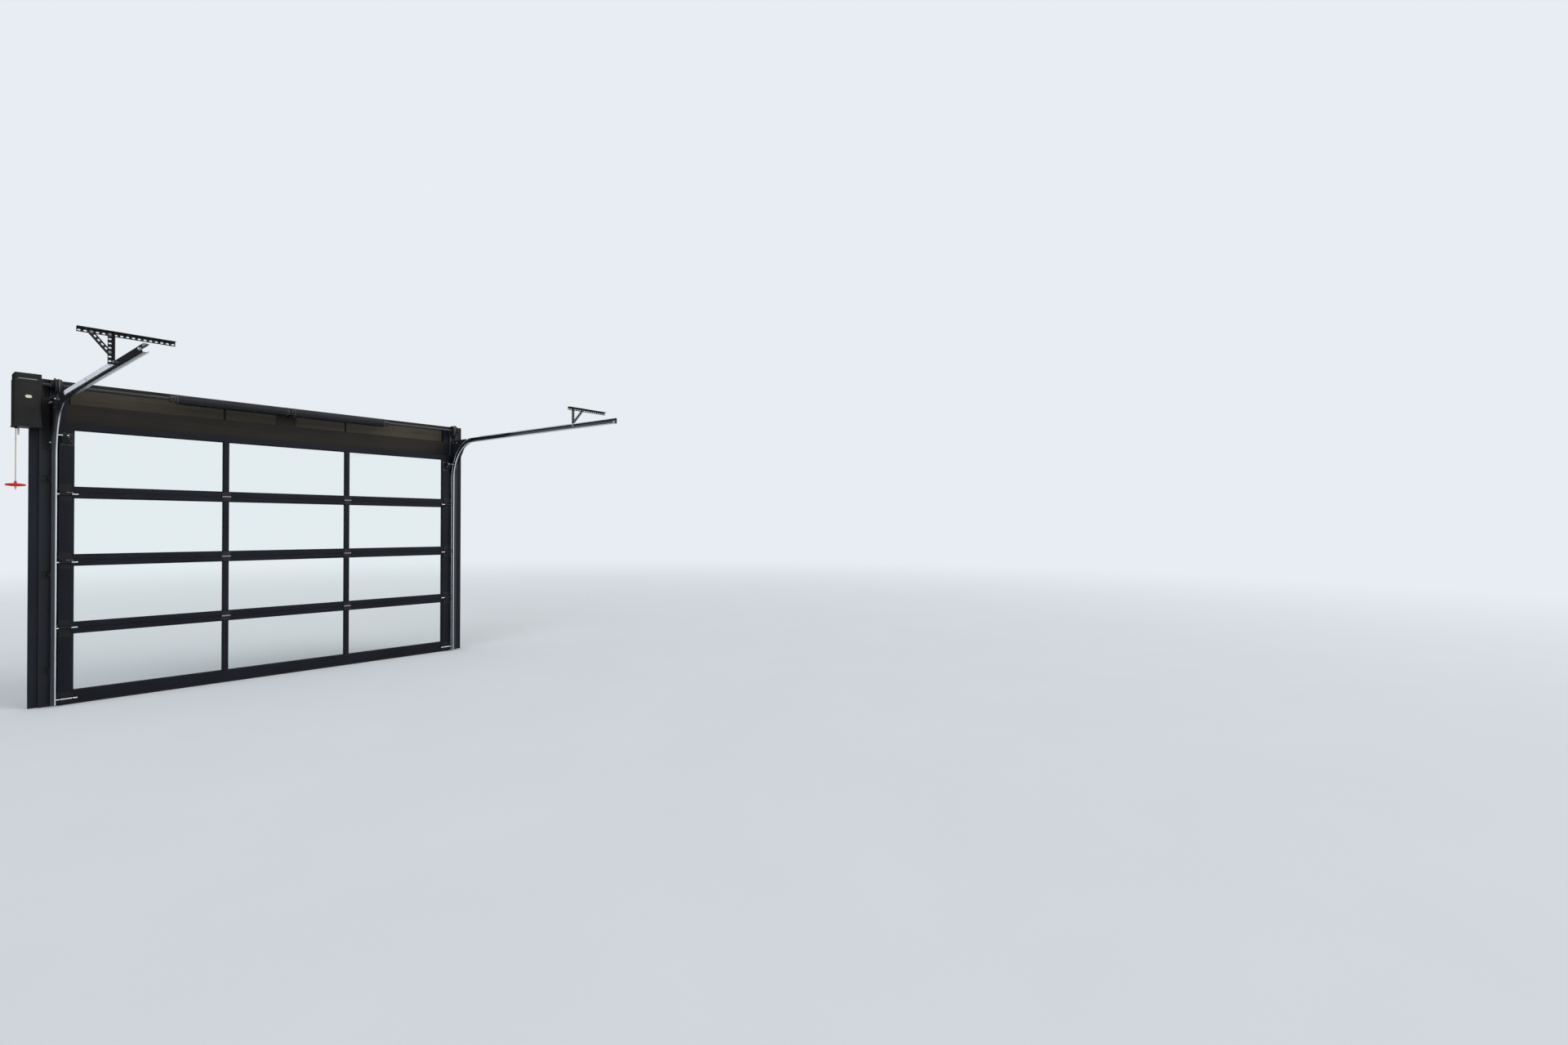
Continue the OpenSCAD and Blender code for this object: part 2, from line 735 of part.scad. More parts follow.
function unit(v) = v / norm(v);

function reversed(list) = [for (i = [len(list) - 1:-1:0]) list[i]];

// One side of a strip of steel that follows a line of points
function strip_side(line, d) = [for (i = [0:len(line) - 1])
    let (along = unit(line[min(i + 1, len(line) - 1)] - line[max(i - 1, 0)]))
        line[i] + d * [-along[1], along[0]]];

// Half of the strip's middle line, from the web round the corner to the rolled lip.
// The first number is the depth from the web's outer face and the second is across the mouth.
half_mouth = (track_w - track_t) / 2;
corner_r = track_corner_r - track_t / 2;
lip_r = track_lip_r - track_t / 2;
half_line = concat(
    arc([track_t / 2 + corner_r, half_mouth - corner_r], corner_r, 180, 90, 5),
    arc([track_d - track_lip_r, half_mouth - lip_r], lip_r, 90, -90, 6));
track_line = concat(reversed([for (p = half_line) [p[0], -p[1]]]), half_line);
track_points = concat(strip_side(track_line, track_t / 2), reversed(strip_side(track_line, -track_t / 2)));

// Profile of the right-hand track, of x towards the leaf and y across the mouth
module track_profile() { mirror([1, 0]) polygon(track_points); }

module vertical_track() {
    color("#23252c") from_floor() translate([web_x, stem_y, track_foot])
        linear_extrude(curve_z - track_foot) track_profile();
}
module left_vertical_track() { mirror([1, 0, 0]) vertical_track(); }
module right_vertical_track() { vertical_track(); }

// The curve and the straight run behind it
module horizontal_track() {
    color("#23252c") from_floor() translate([web_x, curve_y, curve_z]) {
        rotate([90, 0, 90]) rotate_extrude(angle = 90, $fn = 96)
            translate([curve_r, 0]) rotate(-90) polygon(track_points);
        translate([0, 0, curve_r]) rotate([90, 0, 0]) linear_extrude(run_len) track_profile();
    }
}
module left_horizontal_track() { mirror([1, 0, 0]) horizontal_track(); }
module right_horizontal_track() { horizontal_track(); }

// Brackets of bent steel between the track's web and its board, with a slot in each leg
module jamb_brackets() {
    web_end = stem_y - track_w / 4;
    web_len = track_board_face - web_end;
    color("#2b2d33") from_floor() both_sides() for (z = bracket_z) translate([web_x, 0, z]) difference() {
        translate([0, 0, -bracket_h / 2]) linear_extrude(bracket_h) {
            translate([0, web_end]) square([bracket_t, web_len]);
            translate([0, track_board_face - bracket_t]) square([bracket_flange, bracket_t]);
        }
        translate([(bracket_flange + bracket_t) / 2, track_board_face + eps, 0]) rotate([90, 0, 0])
            linear_extrude(bracket_t + 2 * eps) rotate(90) slot(bracket_slot, slot_w);
        translate([-eps, web_end + web_len / 2, 0]) rotate([90, 0, 90])
            linear_extrude(bracket_t + 2 * eps) slot(bracket_slot, slot_w);
    }
}

// Plates at the corner, each with a flange on the board
module corner_plates() {
    low = track_h - plate_drop;
    edge = stem_y - track_w / 2;
    color("#2b2d33") from_floor() both_sides() difference() {
        union() {
            along_x(web_x, bracket_t) polygon([
                [track_board_face, low], [edge, low], [edge - plate_lap, low + plate_foot],
                [plate_end, track_h - track_w / 2], [plate_end, track_top], [track_board_face, track_top]]);
            translate([web_x, track_board_face - bracket_t, low])
                cube([bracket_flange, bracket_t, track_top - low]);
        }
        for (z = [low + plate_foot / 2, track_top - plate_foot / 2])
            translate([web_x + (bracket_flange + bracket_t) / 2, track_board_face + eps, z])
                rotate([90, 0, 0]) linear_extrude(bracket_t + 2 * eps) rotate(90) slot(bracket_slot, slot_w);
    }
}

// Stiffening angle over the outer top corner of each horizontal track, up to the hanger
module track_angles() {
    start = -hanger_y - angle_t;
    color("#a9adb5") from_floor() both_sides() translate([web_x + angle_t, 0, track_top + angle_t])
        along_y(start, -track_angle_start - start) {
            translate([-angle_t, -track_angle_w]) square([angle_t, track_angle_w]);
            translate([-track_angle_w, -angle_t]) square([track_angle_w, angle_t]);
        }
}

// Hangers of slotted angle

// Angle along x from the origin, with one leg flat in x and z, its free edge at z = 0, and the other
// flat in x and y. The slots start at x = first, and those in the first leg may lie across it.
module slotted_angle(len, first, across) {
    count = floor((len - first - slot_end) / slot_pitch) + 1;
    difference() {
        union() {
            translate([0, -angle_t, 0]) cube([len, angle_t, angle_w]);
            translate([0, -angle_w, angle_w - angle_t]) cube([len, angle_w, angle_t]);
        }
        for (i = [0:count - 1]) translate([first + i * slot_pitch, 0, 0]) {
            translate([0, eps, slot_edge]) rotate([90, 0, 0]) linear_extrude(angle_t + 2 * eps)
                rotate(across ? 90 : 0) slot(slot_len, slot_w);
            translate([0, slot_edge - angle_w, angle_w - angle_t - eps])
                linear_extrude(angle_t + 2 * eps) slot(slot_len, slot_w);
        }
    }
}

// Angles along the ceiling, each with one of its slots over its hanger leg's
module ceiling_angles() {
    left = -leg_slot_x - left_angle_slots * slot_pitch;
    right = leg_slot_x - right_angle_slots * slot_pitch;
    color("#17181b") from_floor() for (x = [left, right])
        translate([x - slot_end, -hanger_y, ceiling_h - angle_w])
            slotted_angle(ceiling_angle_len, slot_end, false);
}

// Upright legs, on the room side of the ceiling angle and against the outside of the track
module hanger_legs() {
    first = slot_end + (slot_row_z - leg_foot - slot_end) % slot_pitch;
    color("#17181b") from_floor() both_sides()
        translate([web_x + angle_w, -hanger_y - angle_t, leg_foot]) rotate([0, -90, 0])
            slotted_angle(leg_top - leg_foot, first, true);
}

// Slanted brace behind a leg on the right, with a spacer where it is bolted to the leg
module hanger_brace(across, down) {
    run = norm([across, down]) * slot_pitch;
    slots = round(run / slot_pitch);
    translate([leg_slot_x, -hanger_y, slot_row_z - down * slot_pitch])
        rotate([0, -atan2(down, across), 0]) difference() {
            translate([-brace_end, 0, -brace_w / 2]) {
                cube([run + 2 * brace_end, angle_t, brace_w]);
                cube([run + 2 * brace_end, brace_w, angle_t]);
                translate([brace_end, angle_t, brace_w / 2]) rotate([90, 0, 0])
                    cylinder(r = slot_w / 2 + angle_t, h = 2 * angle_t);
            }
            for (i = [1:slots]) translate([i * run / slots, angle_t + eps, 0])
                rotate([90, 0, 0]) linear_extrude(angle_t + 2 * eps) slot(slot_len, slot_w);
        }
}

module hanger_braces() {
    color("#17181b") from_floor() {
        mirror([1, 0, 0]) hanger_brace(brace_across[0], brace_down[0]);
        hanger_brace(brace_across[1], brace_down[1]);
    }
}

// Hinges and rollers

// Leaf of a middle hinge above its joint, with the knuckles between the given places along its width
module centre_leaf(knuckles) {
    difference() {
        union() {
            translate([-hinge_w / 2, 0, knuckle_r + hinge_gap]) rotate([90, 0, 0]) linear_extrude(hinge_t)
                tab(hinge_w, hinge_h - knuckle_r - hinge_gap, hinge_corner_r);
            for (k = knuckles) translate([k[0], 0, 0]) {
                translate([0, -hinge_t, 0]) cube([k[1] - k[0], hinge_t, knuckle_r + hinge_gap]);
                translate([0, -knuckle_r, 0]) rod(knuckle_r, k[1] - k[0]);
            }
        }
        translate([-hinge_w, -knuckle_r, 0]) rod(pin_r + hinge_gap, 2 * hinge_w);
    }
}

// Middle hinges: two leaves and a pin, on the centre stiles
module centre_hinges() {
    outer = hinge_w / 2;
    inner = hinge_w / 4;
    color("#17181b") from_floor() for (z = joints, i = [1:panes - 1])
        translate([-half_w + end_stile_w + i * pane_pitch - centre_stile_w / 2, leaf_front, z]) {
            centre_leaf([[hinge_gap / 2 - inner, inner - hinge_gap / 2]]);
            mirror([0, 0, 1]) centre_leaf([[-outer, -inner - hinge_gap / 2], [inner + hinge_gap / 2, outer]]);
            translate([-outer - hinge_t, -knuckle_r, 0]) rod(pin_r, hinge_w + 2 * hinge_t);
        }
}

// Profile of a cheek from the leaf's face to the stem, whose height is stem_z
module cheek(side, stem_z, nose_r) {
    polygon([
        [0, side * (joint_gap / 2 + hinge_t)], [-stem_setoff, stem_z - side * tube_r],
        [-stem_setoff, stem_z + side * tube_r], [0, side * cheek_h]]);
    translate([-stem_setoff, stem_z]) circle(nose_r);
}

// One leaf of an end hinge, above its joint for side = 1 and below it for side = -1
module end_leaf(side, inset) {
    mirror([0, 0, side > 0 ? 0 : 1]) translate([0, 0, joint_gap / 2]) rotate([90, 0, 0])
        linear_extrude(hinge_t) tab(end_hinge_w, end_hinge_h, hinge_corner_r);
    for (x = [inset, end_hinge_w - inset - hinge_t]) along_x(x, hinge_t) children();
}

// End hinges: the lower leaf carries the stem's tube, and the upper leaf turns on that tube
module end_hinges() {
    turning_r = tube_r + hinge_gap;
    color("#17181b") from_floor() both_sides() for (i = [0:len(joints) - 1])
        translate([half_w - end_hinge_edge - end_hinge_w, leaf_front, joints[i]]) {
            difference() {
                union() {
                    end_leaf(-1, 0) cheek(-1, -tube_drop[i], turning_r + tube_wall);
                    translate([0, -stem_setoff, -tube_drop[i]]) rod(tube_r, end_hinge_w);
                }
                translate([-eps, -stem_setoff, -tube_drop[i]]) rod(stem_r + stem_gap, end_hinge_w + 2 * eps);
            }
            end_leaf(1, hinge_t + hinge_gap) difference() {
                cheek(1, -tube_drop[i], turning_r + tube_wall);
                translate([-stem_setoff, -tube_drop[i]]) circle(turning_r);
            }
        }
}

module roller_stems() {
    color("#c9ccd1") from_floor() both_sides() for (p = rollers)
        translate([roller_out - p[2], p[0], p[1]]) rod(stem_r, p[2]);
}

// Wheels with a rounded tread and a recess round the hub on both faces
module roller_wheels() {
    half = roller_w / 2;
    rim = roller_r - roller_edge;
    face = [[stem_r + stem_gap, half], [hub_r, half], [hub_r + hub_recess, half - hub_recess],
        [rim - hub_recess, half - hub_recess], [rim, half]];
    color("#18181a") from_floor() both_sides() for (p = rollers)
        translate([roller_out - half, p[0], p[1]]) rotate([0, 90, 0]) rotate_extrude()
            polygon(concat(
                face, arc([rim, half - roller_edge], roller_edge, 60, 0, 2),
                reversed(arc([rim, roller_edge - half], roller_edge, -60, 0, 2)),
                reversed([for (p = face) [p[0], -p[1]]])));
}

// Bottom brackets: a plate with two ears that hold the stem, and a side flange with the cable's pin
module bottom_brackets() {
    x0 = half_w - foot_bracket_w;
    pin_y = cable_y - loop_r;
    flange_y = leaf_front - hinge_t;
    top = bottom_z + foot_bracket_h;
    color("#23252c") from_floor() both_sides() {
        along_y(flange_y, hinge_t) polygon([
            [x0, bottom_z], [half_w, bottom_z], [half_w, top], [x0 + foot_bracket_h / 3, top],
            [x0, top - foot_bracket_h / 3]]);
        along_x(half_w, hinge_t) polygon([
            [flange_y, bottom_z], [pin_y + pin_margin, bottom_z],
            [pin_y + pin_margin, cable_pin_z + pin_margin], [flange_y, top]]);
        for (x = [x0 + ear_inset, half_w - ear_inset - bracket_t]) along_x(x, bracket_t) difference() {
            union() {
                polygon([
                    [leaf_front, bottom_roller_z - ear_h / 2], [stem_y, bottom_roller_z - tube_r],
                    [stem_y, bottom_roller_z + tube_r], [leaf_front, bottom_roller_z + ear_h / 2]]);
                translate([stem_y, bottom_roller_z]) circle(tube_r);
            }
            translate([stem_y, bottom_roller_z]) circle(stem_r + stem_gap);
        }
        translate([half_w, pin_y, cable_pin_z]) {
            rod(cable_pin_r, cable_side + 2 * cable_r);
            translate([cable_side + 2 * cable_r, 0, 0]) rod(cable_pin_r + cable_r, hinge_t);
        }
    }
}

// Top brackets: a plate and a bent carrier that narrows towards its roller
module top_brackets() {
    reach = leaf_front - top_stem_y;
    x1 = half_w - top_bracket_edge;
    x0 = x1 - top_bracket_w;
    nose = x1 - top_bracket_nose;
    inner = reach - 2 * tube_r;
    high = top_bracket_up - carrier_t;
    low = top_bracket_down - carrier_t;
    high_slope = (high - tube_r) / reach;
    low_slope = (low - tube_r) / reach;
    high_in = high - carrier_t * norm([1, high_slope]);
    low_in = low - carrier_t * norm([1, low_slope]);
    color("#17181b") from_floor() both_sides() translate([0, leaf_front, top_roller_z]) {
        translate([x0, 0, -top_bracket_down]) rotate([90, 0, 0]) linear_extrude(hinge_t)
            tab(top_bracket_w, top_bracket_down + top_bracket_up, hinge_corner_r);
        difference() {
            union() {
                intersection() {
                    along_x(x0, top_bracket_w) difference() {
                        polygon([[0, high], [-reach, tube_r], [-reach, -tube_r], [0, -low]]);
                        polygon([[eps, high_in], [-inner, high_in - high_slope * inner],
                            [-inner, low_slope * inner - low_in], [eps, -low_in]]);
                    }
                    translate([0, 0, -top_bracket_down]) linear_extrude(top_bracket_down + top_bracket_up)
                        polygon([[x0, 0], [nose, -reach], [x1, -reach], [x1, 0]]);
                }
                translate([nose, -reach, 0]) rod(tube_r, top_bracket_nose);
            }
            translate([x0, -reach, 0]) rod(stem_r + stem_gap, 2 * top_bracket_w);
        }
    }
}

// Shaft, springs and drums

module torsion_shaft() {
    start = opener_right - opener_w / 2;
    color("#9a9da3") from_floor() translate([start, shaft_y, shaft_z]) difference() {
        rod(shaft_r, half_w + shaft_end - start);
        translate([-eps, 0, 0]) rod(shaft_r - shaft_wall, half_w + shaft_end - start + 2 * eps);
    }
}

// Close-wound coil, from the middle bearing outwards. Its outside is rounded turn by turn.
module spring() {
    turns = floor(spring_len / (2 * wire_r));
    turn_w = spring_len / turns;
    mid_r = spring_r - wire_r;
    color("#1c1d22") from_floor() translate([pad_x + spring_start, shaft_y, shaft_z])
        rotate([0, 90, 0]) rotate_extrude() polygon(concat(
            [[mid_r - wire_r, 0]],
            [for (i = [0:turns - 1], a = [-90:45:45])
                [mid_r + wire_r * cos(a), (i + (1 + sin(a)) / 2) * turn_w]],
            [[mid_r, spring_len], [mid_r - wire_r, spring_len]]));
}
module right_spring() { spring(); }
module left_spring() { translate([2 * pad_x, 0, 0]) mirror([1, 0, 0]) spring(); }

// Cone that grips a spring's end, along x from the spring's end face outwards
module cone(len) {
    plug_r = spring_r - 2 * wire_r - cone_gap;
    rotate([0, 90, 0]) rotate_extrude() polygon([
        [shaft_bore, -plug_len], [plug_r - cone_flange / 3, -plug_len], [plug_r, -plug_len + cone_flange],
        [plug_r, 0], [spring_r, 0], [spring_r, cone_flange], [cone_hub_r, cone_flange + cone_slope],
        [cone_hub_r, len], [shaft_bore, len]]);
}

// A winding cone at the outer end of each spring and a plain one at the middle bearing
module spring_cones() {
    color("#8e3a2c") from_floor() translate([pad_x, shaft_y, shaft_z]) for (s = [0, 1]) mirror([s, 0, 0]) {
        translate([spring_start + spring_len, 0, 0]) difference() {
            cone(cone_len);
            for (a = [0:90:270]) rotate([a, 0, 0])
                translate([(cone_len + cone_flange + cone_slope) / 2, 0, cone_hub_r - socket_depth])
                    cylinder(r = socket_r, h = cone_hub_r);
        }
        translate([spring_start, 0, 0]) mirror([1, 0, 0]) cone(spring_start - bearing_t / 2 - cone_gap);
    }
}

// Cast drum: a grooved shell, a rim and web on its outer face, and a hub
module cable_drums() {
    cable_s = drum_face - cable_x;
    first = ceil((drum_web + groove / 2 - cable_s) / groove);
    last = floor((drum_w - cable_s) / groove);
    color("#b7bac0") from_floor() both_sides() translate([drum_face, shaft_y, shaft_z]) rotate([0, -90, 0])
        rotate_extrude() polygon(concat(
            [[shaft_bore, 0], [drum_r + drum_rim, 0], [drum_r + drum_rim, drum_web - groove_depth],
                [drum_r, drum_web]],
            [for (i = [first:last - 1], k = [0, 1])
                [drum_r - k * groove_depth, cable_s + (i - (1 - k) / 2) * groove]],
            [[drum_r, drum_w], [drum_r - drum_wall, drum_w], [drum_r - drum_wall, drum_web],
                [drum_hub_r, drum_web], [drum_hub_r, drum_w + drum_hub_len],
                [shaft_bore, drum_w + drum_hub_len]]));
}

// Lift cables: a loop round the bottom pin with its sleeve, the straight cable and the turns on the drum
module lift_cables() {
    color("#8a8d92") from_floor() both_sides() translate([cable_x, 0, 0]) {
        translate([0, cable_y - loop_r, cable_pin_z]) rotate([90, 0, 90]) rotate(loop_gap)
            rotate_extrude(angle = 360 - loop_gap) translate([loop_r, 0]) circle(cable_r, $fn = 16);
        translate([0, cable_y, cable_pin_z]) cylinder(r = cable_r, h = shaft_z - cable_pin_z, $fn = 16);
        translate([0, cable_y, cable_pin_z + sleeve_len]) cylinder(r = sleeve_r, h = sleeve_len);
        translate([0, shaft_y, shaft_z]) rotate([90, 0, 90]) {
            rotate_extrude(angle = 360 - loop_gap) translate([wrap_r, 0]) circle(cable_r, $fn = 16);
            for (i = [1:cable_turns - 1]) translate([0, 0, i * groove]) rotate_extrude()
                translate([wrap_r, 0]) circle(cable_r, $fn = 16);
        }
    }
}

// Profile of a bearing plate between a board's face and the shaft
module bearing_plate(face, low, high) {
    r = bearing_r + bearing_margin;
    difference() {
        union() {
            translate([shaft_y, shaft_z]) circle(r);
            polygon([[face, low], [shaft_y, shaft_z - r], [shaft_y, shaft_z + r], [face, high]]);
        }
        translate([shaft_y, shaft_z]) circle(shaft_bore);
    }
}

module bearing_ring(len) {
    difference() {
        rod(bearing_r, len);
        translate([-eps, 0, 0]) rod(shaft_bore, len + 2 * eps);
    }
}

// Bearing plates at both ends and in the middle, each with a flange and a bearing's ring
module bearing_plates() {
    reach = bearing_r + 2 * bearing_margin;
    low = track_top + bearing_side;
    color("#2b2d33") from_floor() {
        both_sides() {
            along_x(plate_x, bracket_t) bearing_plate(track_board_face, low, shaft_z + reach);
            translate([plate_x, track_board_face - bracket_t, low])
                cube([bearing_flange, bracket_t, shaft_z + reach - low]);
            translate([plate_x - bearing_w, shaft_y, shaft_z]) bearing_ring(bearing_w + eps);
        }
        translate([pad_x, 0, 0]) {
            along_x(-bracket_t / 2, bracket_t) bearing_plate(-board_t, shaft_z - reach, shaft_z + reach);
            translate([-pad_w / 4, -board_t - bracket_t, shaft_z - reach])
                cube([pad_w / 2, bracket_t, 2 * reach]);
            translate([-bearing_t / 2, shaft_y, shaft_z]) bearing_ring(bearing_t);
        }
    }
}

// Opener

// Plan of the opener with its front corners rounded, grown outwards on its front and sides
module opener_plan(grow) {
    r = opener_corner_r + grow;
    w = opener_w + 2 * grow;
    d = opener_d + grow;
    translate([opener_left - grow, opener_back - d]) {
        translate([r, 0]) square([w - 2 * r, d]);
        translate([0, r]) square([w, d - r]);
        for (x = [r, w - r]) translate([x, r]) circle(r);
    }
}

// Tall housing with a set-back cap, a lip, a seam round its base, a recess for the lens and a bore
module opener_housing() {
    color("#2a2a2c") from_floor() {
        difference() {
            translate([0, 0, opener_z]) {
                translate([0, 0, lip_h]) linear_extrude(opener_h - lip_h - cap_h) opener_plan(0);
                linear_extrude(lip_h) opener_plan(lip_out);
                translate([0, 0, opener_h - cap_h]) linear_extrude(cap_h) opener_plan(-cap_inset);
            }
            for (x = [opener_left - lip_out - eps, opener_right - seam_w])
                translate([x, opener_back - base_d, opener_z - eps])
                    cube([seam_w + lip_out + 2 * eps, seam_w, opener_h + 2 * eps]);
            translate([(opener_left + opener_right) / 2, opener_front + lens_depth,
                    opener_z + opener_h - lens_drop])
                rotate([90, 0, 0]) linear_extrude(2 * lens_depth) slot(lens_w, lens_h);
            translate([(opener_left + opener_right) / 2 - bearing_gap, shaft_y, shaft_z])
                rod(shaft_bore, opener_w);
        }
        translate(cord_start) cylinder(r = boss_r, h = boss_len + eps);
    }
}

// Bent strip between the jamb board and the opener's back
module opener_bracket() {
    t = opener_bracket_t;
    color("#1c1d20") from_floor() translate([0, 0, opener_z + opener_bracket_end])
        linear_extrude(opener_h - 2 * opener_bracket_end) {
            translate([-jamb_outer, -board_t - t]) square([jamb_outer + opener_right, t]);
            translate([opener_right - t, opener_back]) square([t, opener_setoff]);
            translate([opener_left + opener_w / 4, opener_back]) square([opener_w * 3 / 4, t]);
        }
}

// Tube swept down the cord's route
module release_cord() {
    sides = 8;
    n = len(cord_route);
    points = [for (p = cord_route, k = [0:sides - 1])
        p + [cord_r * cos(k * 360 / sides), cord_r * sin(k * 360 / sides), 0]];
    skin = [for (i = [0:n - 2], k = [0:sides - 1]) let (next = (k + 1) % sides)
        [i * sides + k, i * sides + next, (i + 1) * sides + next, (i + 1) * sides + k]];
    ends = [[for (k = [sides - 1:-1:0]) k], [for (k = [0:sides - 1]) (n - 1) * sides + k]];
    color("#b08a5a") from_floor() translate(cord_start) polyhedron(points, concat(skin, ends));
}

// T-shaped handle: a grip that swells in the middle, and a neck under the cord
module release_handle() {
    half = handle_w / 2;
    rise = handle_r - handle_tip_r;
    swell_r = (half * half + rise * rise) / (2 * rise);
    swell_angle = asin(half / swell_r);
    color("#c8201c") from_floor() translate(cord_end) {
        translate([0, 0, -neck_h - handle_r]) rotate([0, 90, 0]) rotate_extrude() polygon(concat(
            [[0, -half]], arc([handle_r - swell_r, 0], swell_r, -swell_angle, swell_angle, 14), [[0, half]]));
        translate([0, 0, -neck_h - handle_r / 2])
            cylinder(r1 = (handle_r + neck_r) / 2, r2 = neck_r, h = neck_h + handle_r / 2);
    }
}

left_jamb_board();
right_jamb_board();
track_boards();
head_board();
header_panels();
upper_head_board();
spring_pad();
perimeter_seal();
bottom_seal();
bottom_section_rails();
bottom_section_stiles();
bottom_section_glass();
second_section_rails();
second_section_stiles();
second_section_glass();
third_section_rails();
third_section_stiles();
third_section_glass();
top_section_rails();
top_section_stiles();
top_section_glass();
centre_hinges();
end_hinges();
roller_stems();
roller_wheels();
bottom_brackets();
top_brackets();
left_vertical_track();
right_vertical_track();
left_horizontal_track();
right_horizontal_track();
jamb_brackets();
corner_plates();
track_angles();
ceiling_angles();
hanger_legs();
hanger_braces();
torsion_shaft();
left_spring();
right_spring();
spring_cones();
cable_drums();
lift_cables();
bearing_plates();
opener_housing();
opener_bracket();
release_cord();
release_handle();
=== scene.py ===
# %% [markdown]
# # A glazed overhead door, shut
# The door closes a wide opening. Four hinged sections of black aluminium hold twelve panes of clear glass.
# Rollers on both sides run in a rolled steel track that turns back overhead, where slotted angle carries it.
# Two torsion springs over the door balance its weight through drums and cables, and a tall opener on the left
# turns the shaft. This lesson dresses the measured solids: it gives each one a finish, and adds the small
# things that a solid model leaves out, such as the turns of the springs, bolts, screws, gaskets and the braid
# of the rope.

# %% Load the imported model
import math

import bmesh
import bpy
from mathutils import Matrix, Vector


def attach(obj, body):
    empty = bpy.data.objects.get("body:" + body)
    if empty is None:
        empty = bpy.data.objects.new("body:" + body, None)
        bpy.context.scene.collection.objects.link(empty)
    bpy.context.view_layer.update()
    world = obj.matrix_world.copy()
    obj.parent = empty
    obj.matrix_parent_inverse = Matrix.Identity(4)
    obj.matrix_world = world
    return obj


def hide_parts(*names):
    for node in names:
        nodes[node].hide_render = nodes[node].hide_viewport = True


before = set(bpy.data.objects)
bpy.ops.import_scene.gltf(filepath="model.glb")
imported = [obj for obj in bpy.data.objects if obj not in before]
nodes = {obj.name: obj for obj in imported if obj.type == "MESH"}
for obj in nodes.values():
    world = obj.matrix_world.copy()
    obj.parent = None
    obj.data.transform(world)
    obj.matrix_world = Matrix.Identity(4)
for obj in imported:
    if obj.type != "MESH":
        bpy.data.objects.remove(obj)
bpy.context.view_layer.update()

# %% [markdown]
# ## The camera
# The photograph was taken with a wide lens from indoors, low and far to the left, and turned well to the
# right, so the door fills only the left part of the picture. The lens, the place and the turn come from a fit
# of the camera to the edges of the panes. A new camera looks straight down, so its turn is a small roll, a
# quarter turn up and a turn to the right. The heights are counted from the part's origin, which is on the
# head board, so the floor lies 2.228 m below it. A tiny shift lifts the frame as the photograph's crop does.

# %% The camera at the photograph's place
FLOOR_Z = -2.228
EYE = Vector((-2.4754, -7.7417, 1.3915 + FLOOR_Z))
YAW, PITCH, ROLL = math.radians(53.094), math.radians(0.136), math.radians(0.2025)
LENS_MM, FILM_MM, SHIFT = 16.08, 36.0, 0.0015

scene = bpy.context.scene
eye = bpy.data.cameras.new("eye")
eye.lens, eye.sensor_width, eye.shift_y = LENS_MM, FILM_MM, SHIFT
eye.clip_start, eye.clip_end = 0.05, 200
camera = bpy.data.objects.new("eye", eye)
turn = Matrix.Rotation(-YAW, 4, "Z") @ Matrix.Rotation(math.pi / 2 + PITCH, 4, "X")
camera.matrix_world = Matrix.Translation(EYE) @ turn @ Matrix.Rotation(ROLL, 4, "Z")
scene.collection.objects.link(camera)
scene.camera = camera
print("camera at", [round(v, 3) for v in EYE])

# %% [markdown]
# ## Shader sums
# A finish is easier to read as a sum than as a web of wires. The class below wraps one output of a node, so
# that `grain * 0.5 + specks` adds the Math nodes that it needs. A finish then comes from one `Finish`, whose
# `node` method takes a node's type, its settings and the values or links of its sockets. A socket goes by its
# name, or by its number where several sockets share a name.

# %% Sums on sockets
class Signal:
    """One output of a node, usable in sums."""

    def __init__(self, finish, socket):
        self.finish, self.socket = finish, socket

    def _sum(self, kind, *values):
        return self.finish.node("Math", {"operation": kind}, *values)

    def __add__(self, other):
        return self._sum("ADD", self, other)

    def __sub__(self, other):
        return self._sum("SUBTRACT", self, other)

    def __rsub__(self, other):
        return self._sum("SUBTRACT", other, self)

    def __mul__(self, other):
        return self._sum("MULTIPLY", self, other)

    __radd__ = __add__
    __rmul__ = __mul__

    def clamped(self):
        return self.finish.node("Clamp", {}, self)

    def size(self):
        """The value without its sign."""
        return self._sum("ABSOLUTE", self)

    def sine(self):
        return self._sum("SINE", self)

    def over(self, low, high):
        """0 below low, 1 above high, smooth between."""
        return self.finish.node("MapRange", {"interpolation_type": "SMOOTHSTEP"}, self, low, high)


# %% One finish and its nodes
def socket_of(sockets, key):
    """The socket with a name, where _ stands for a space, or with a number that follows a first _."""
    return sockets[int(key[1:]) if key[0] == "_" else key.replace("_", " ")]


def opaque(colour):
    """A written colour with its alpha, and a link as it is."""
    return (*colour, 1) if isinstance(colour, tuple) else colour


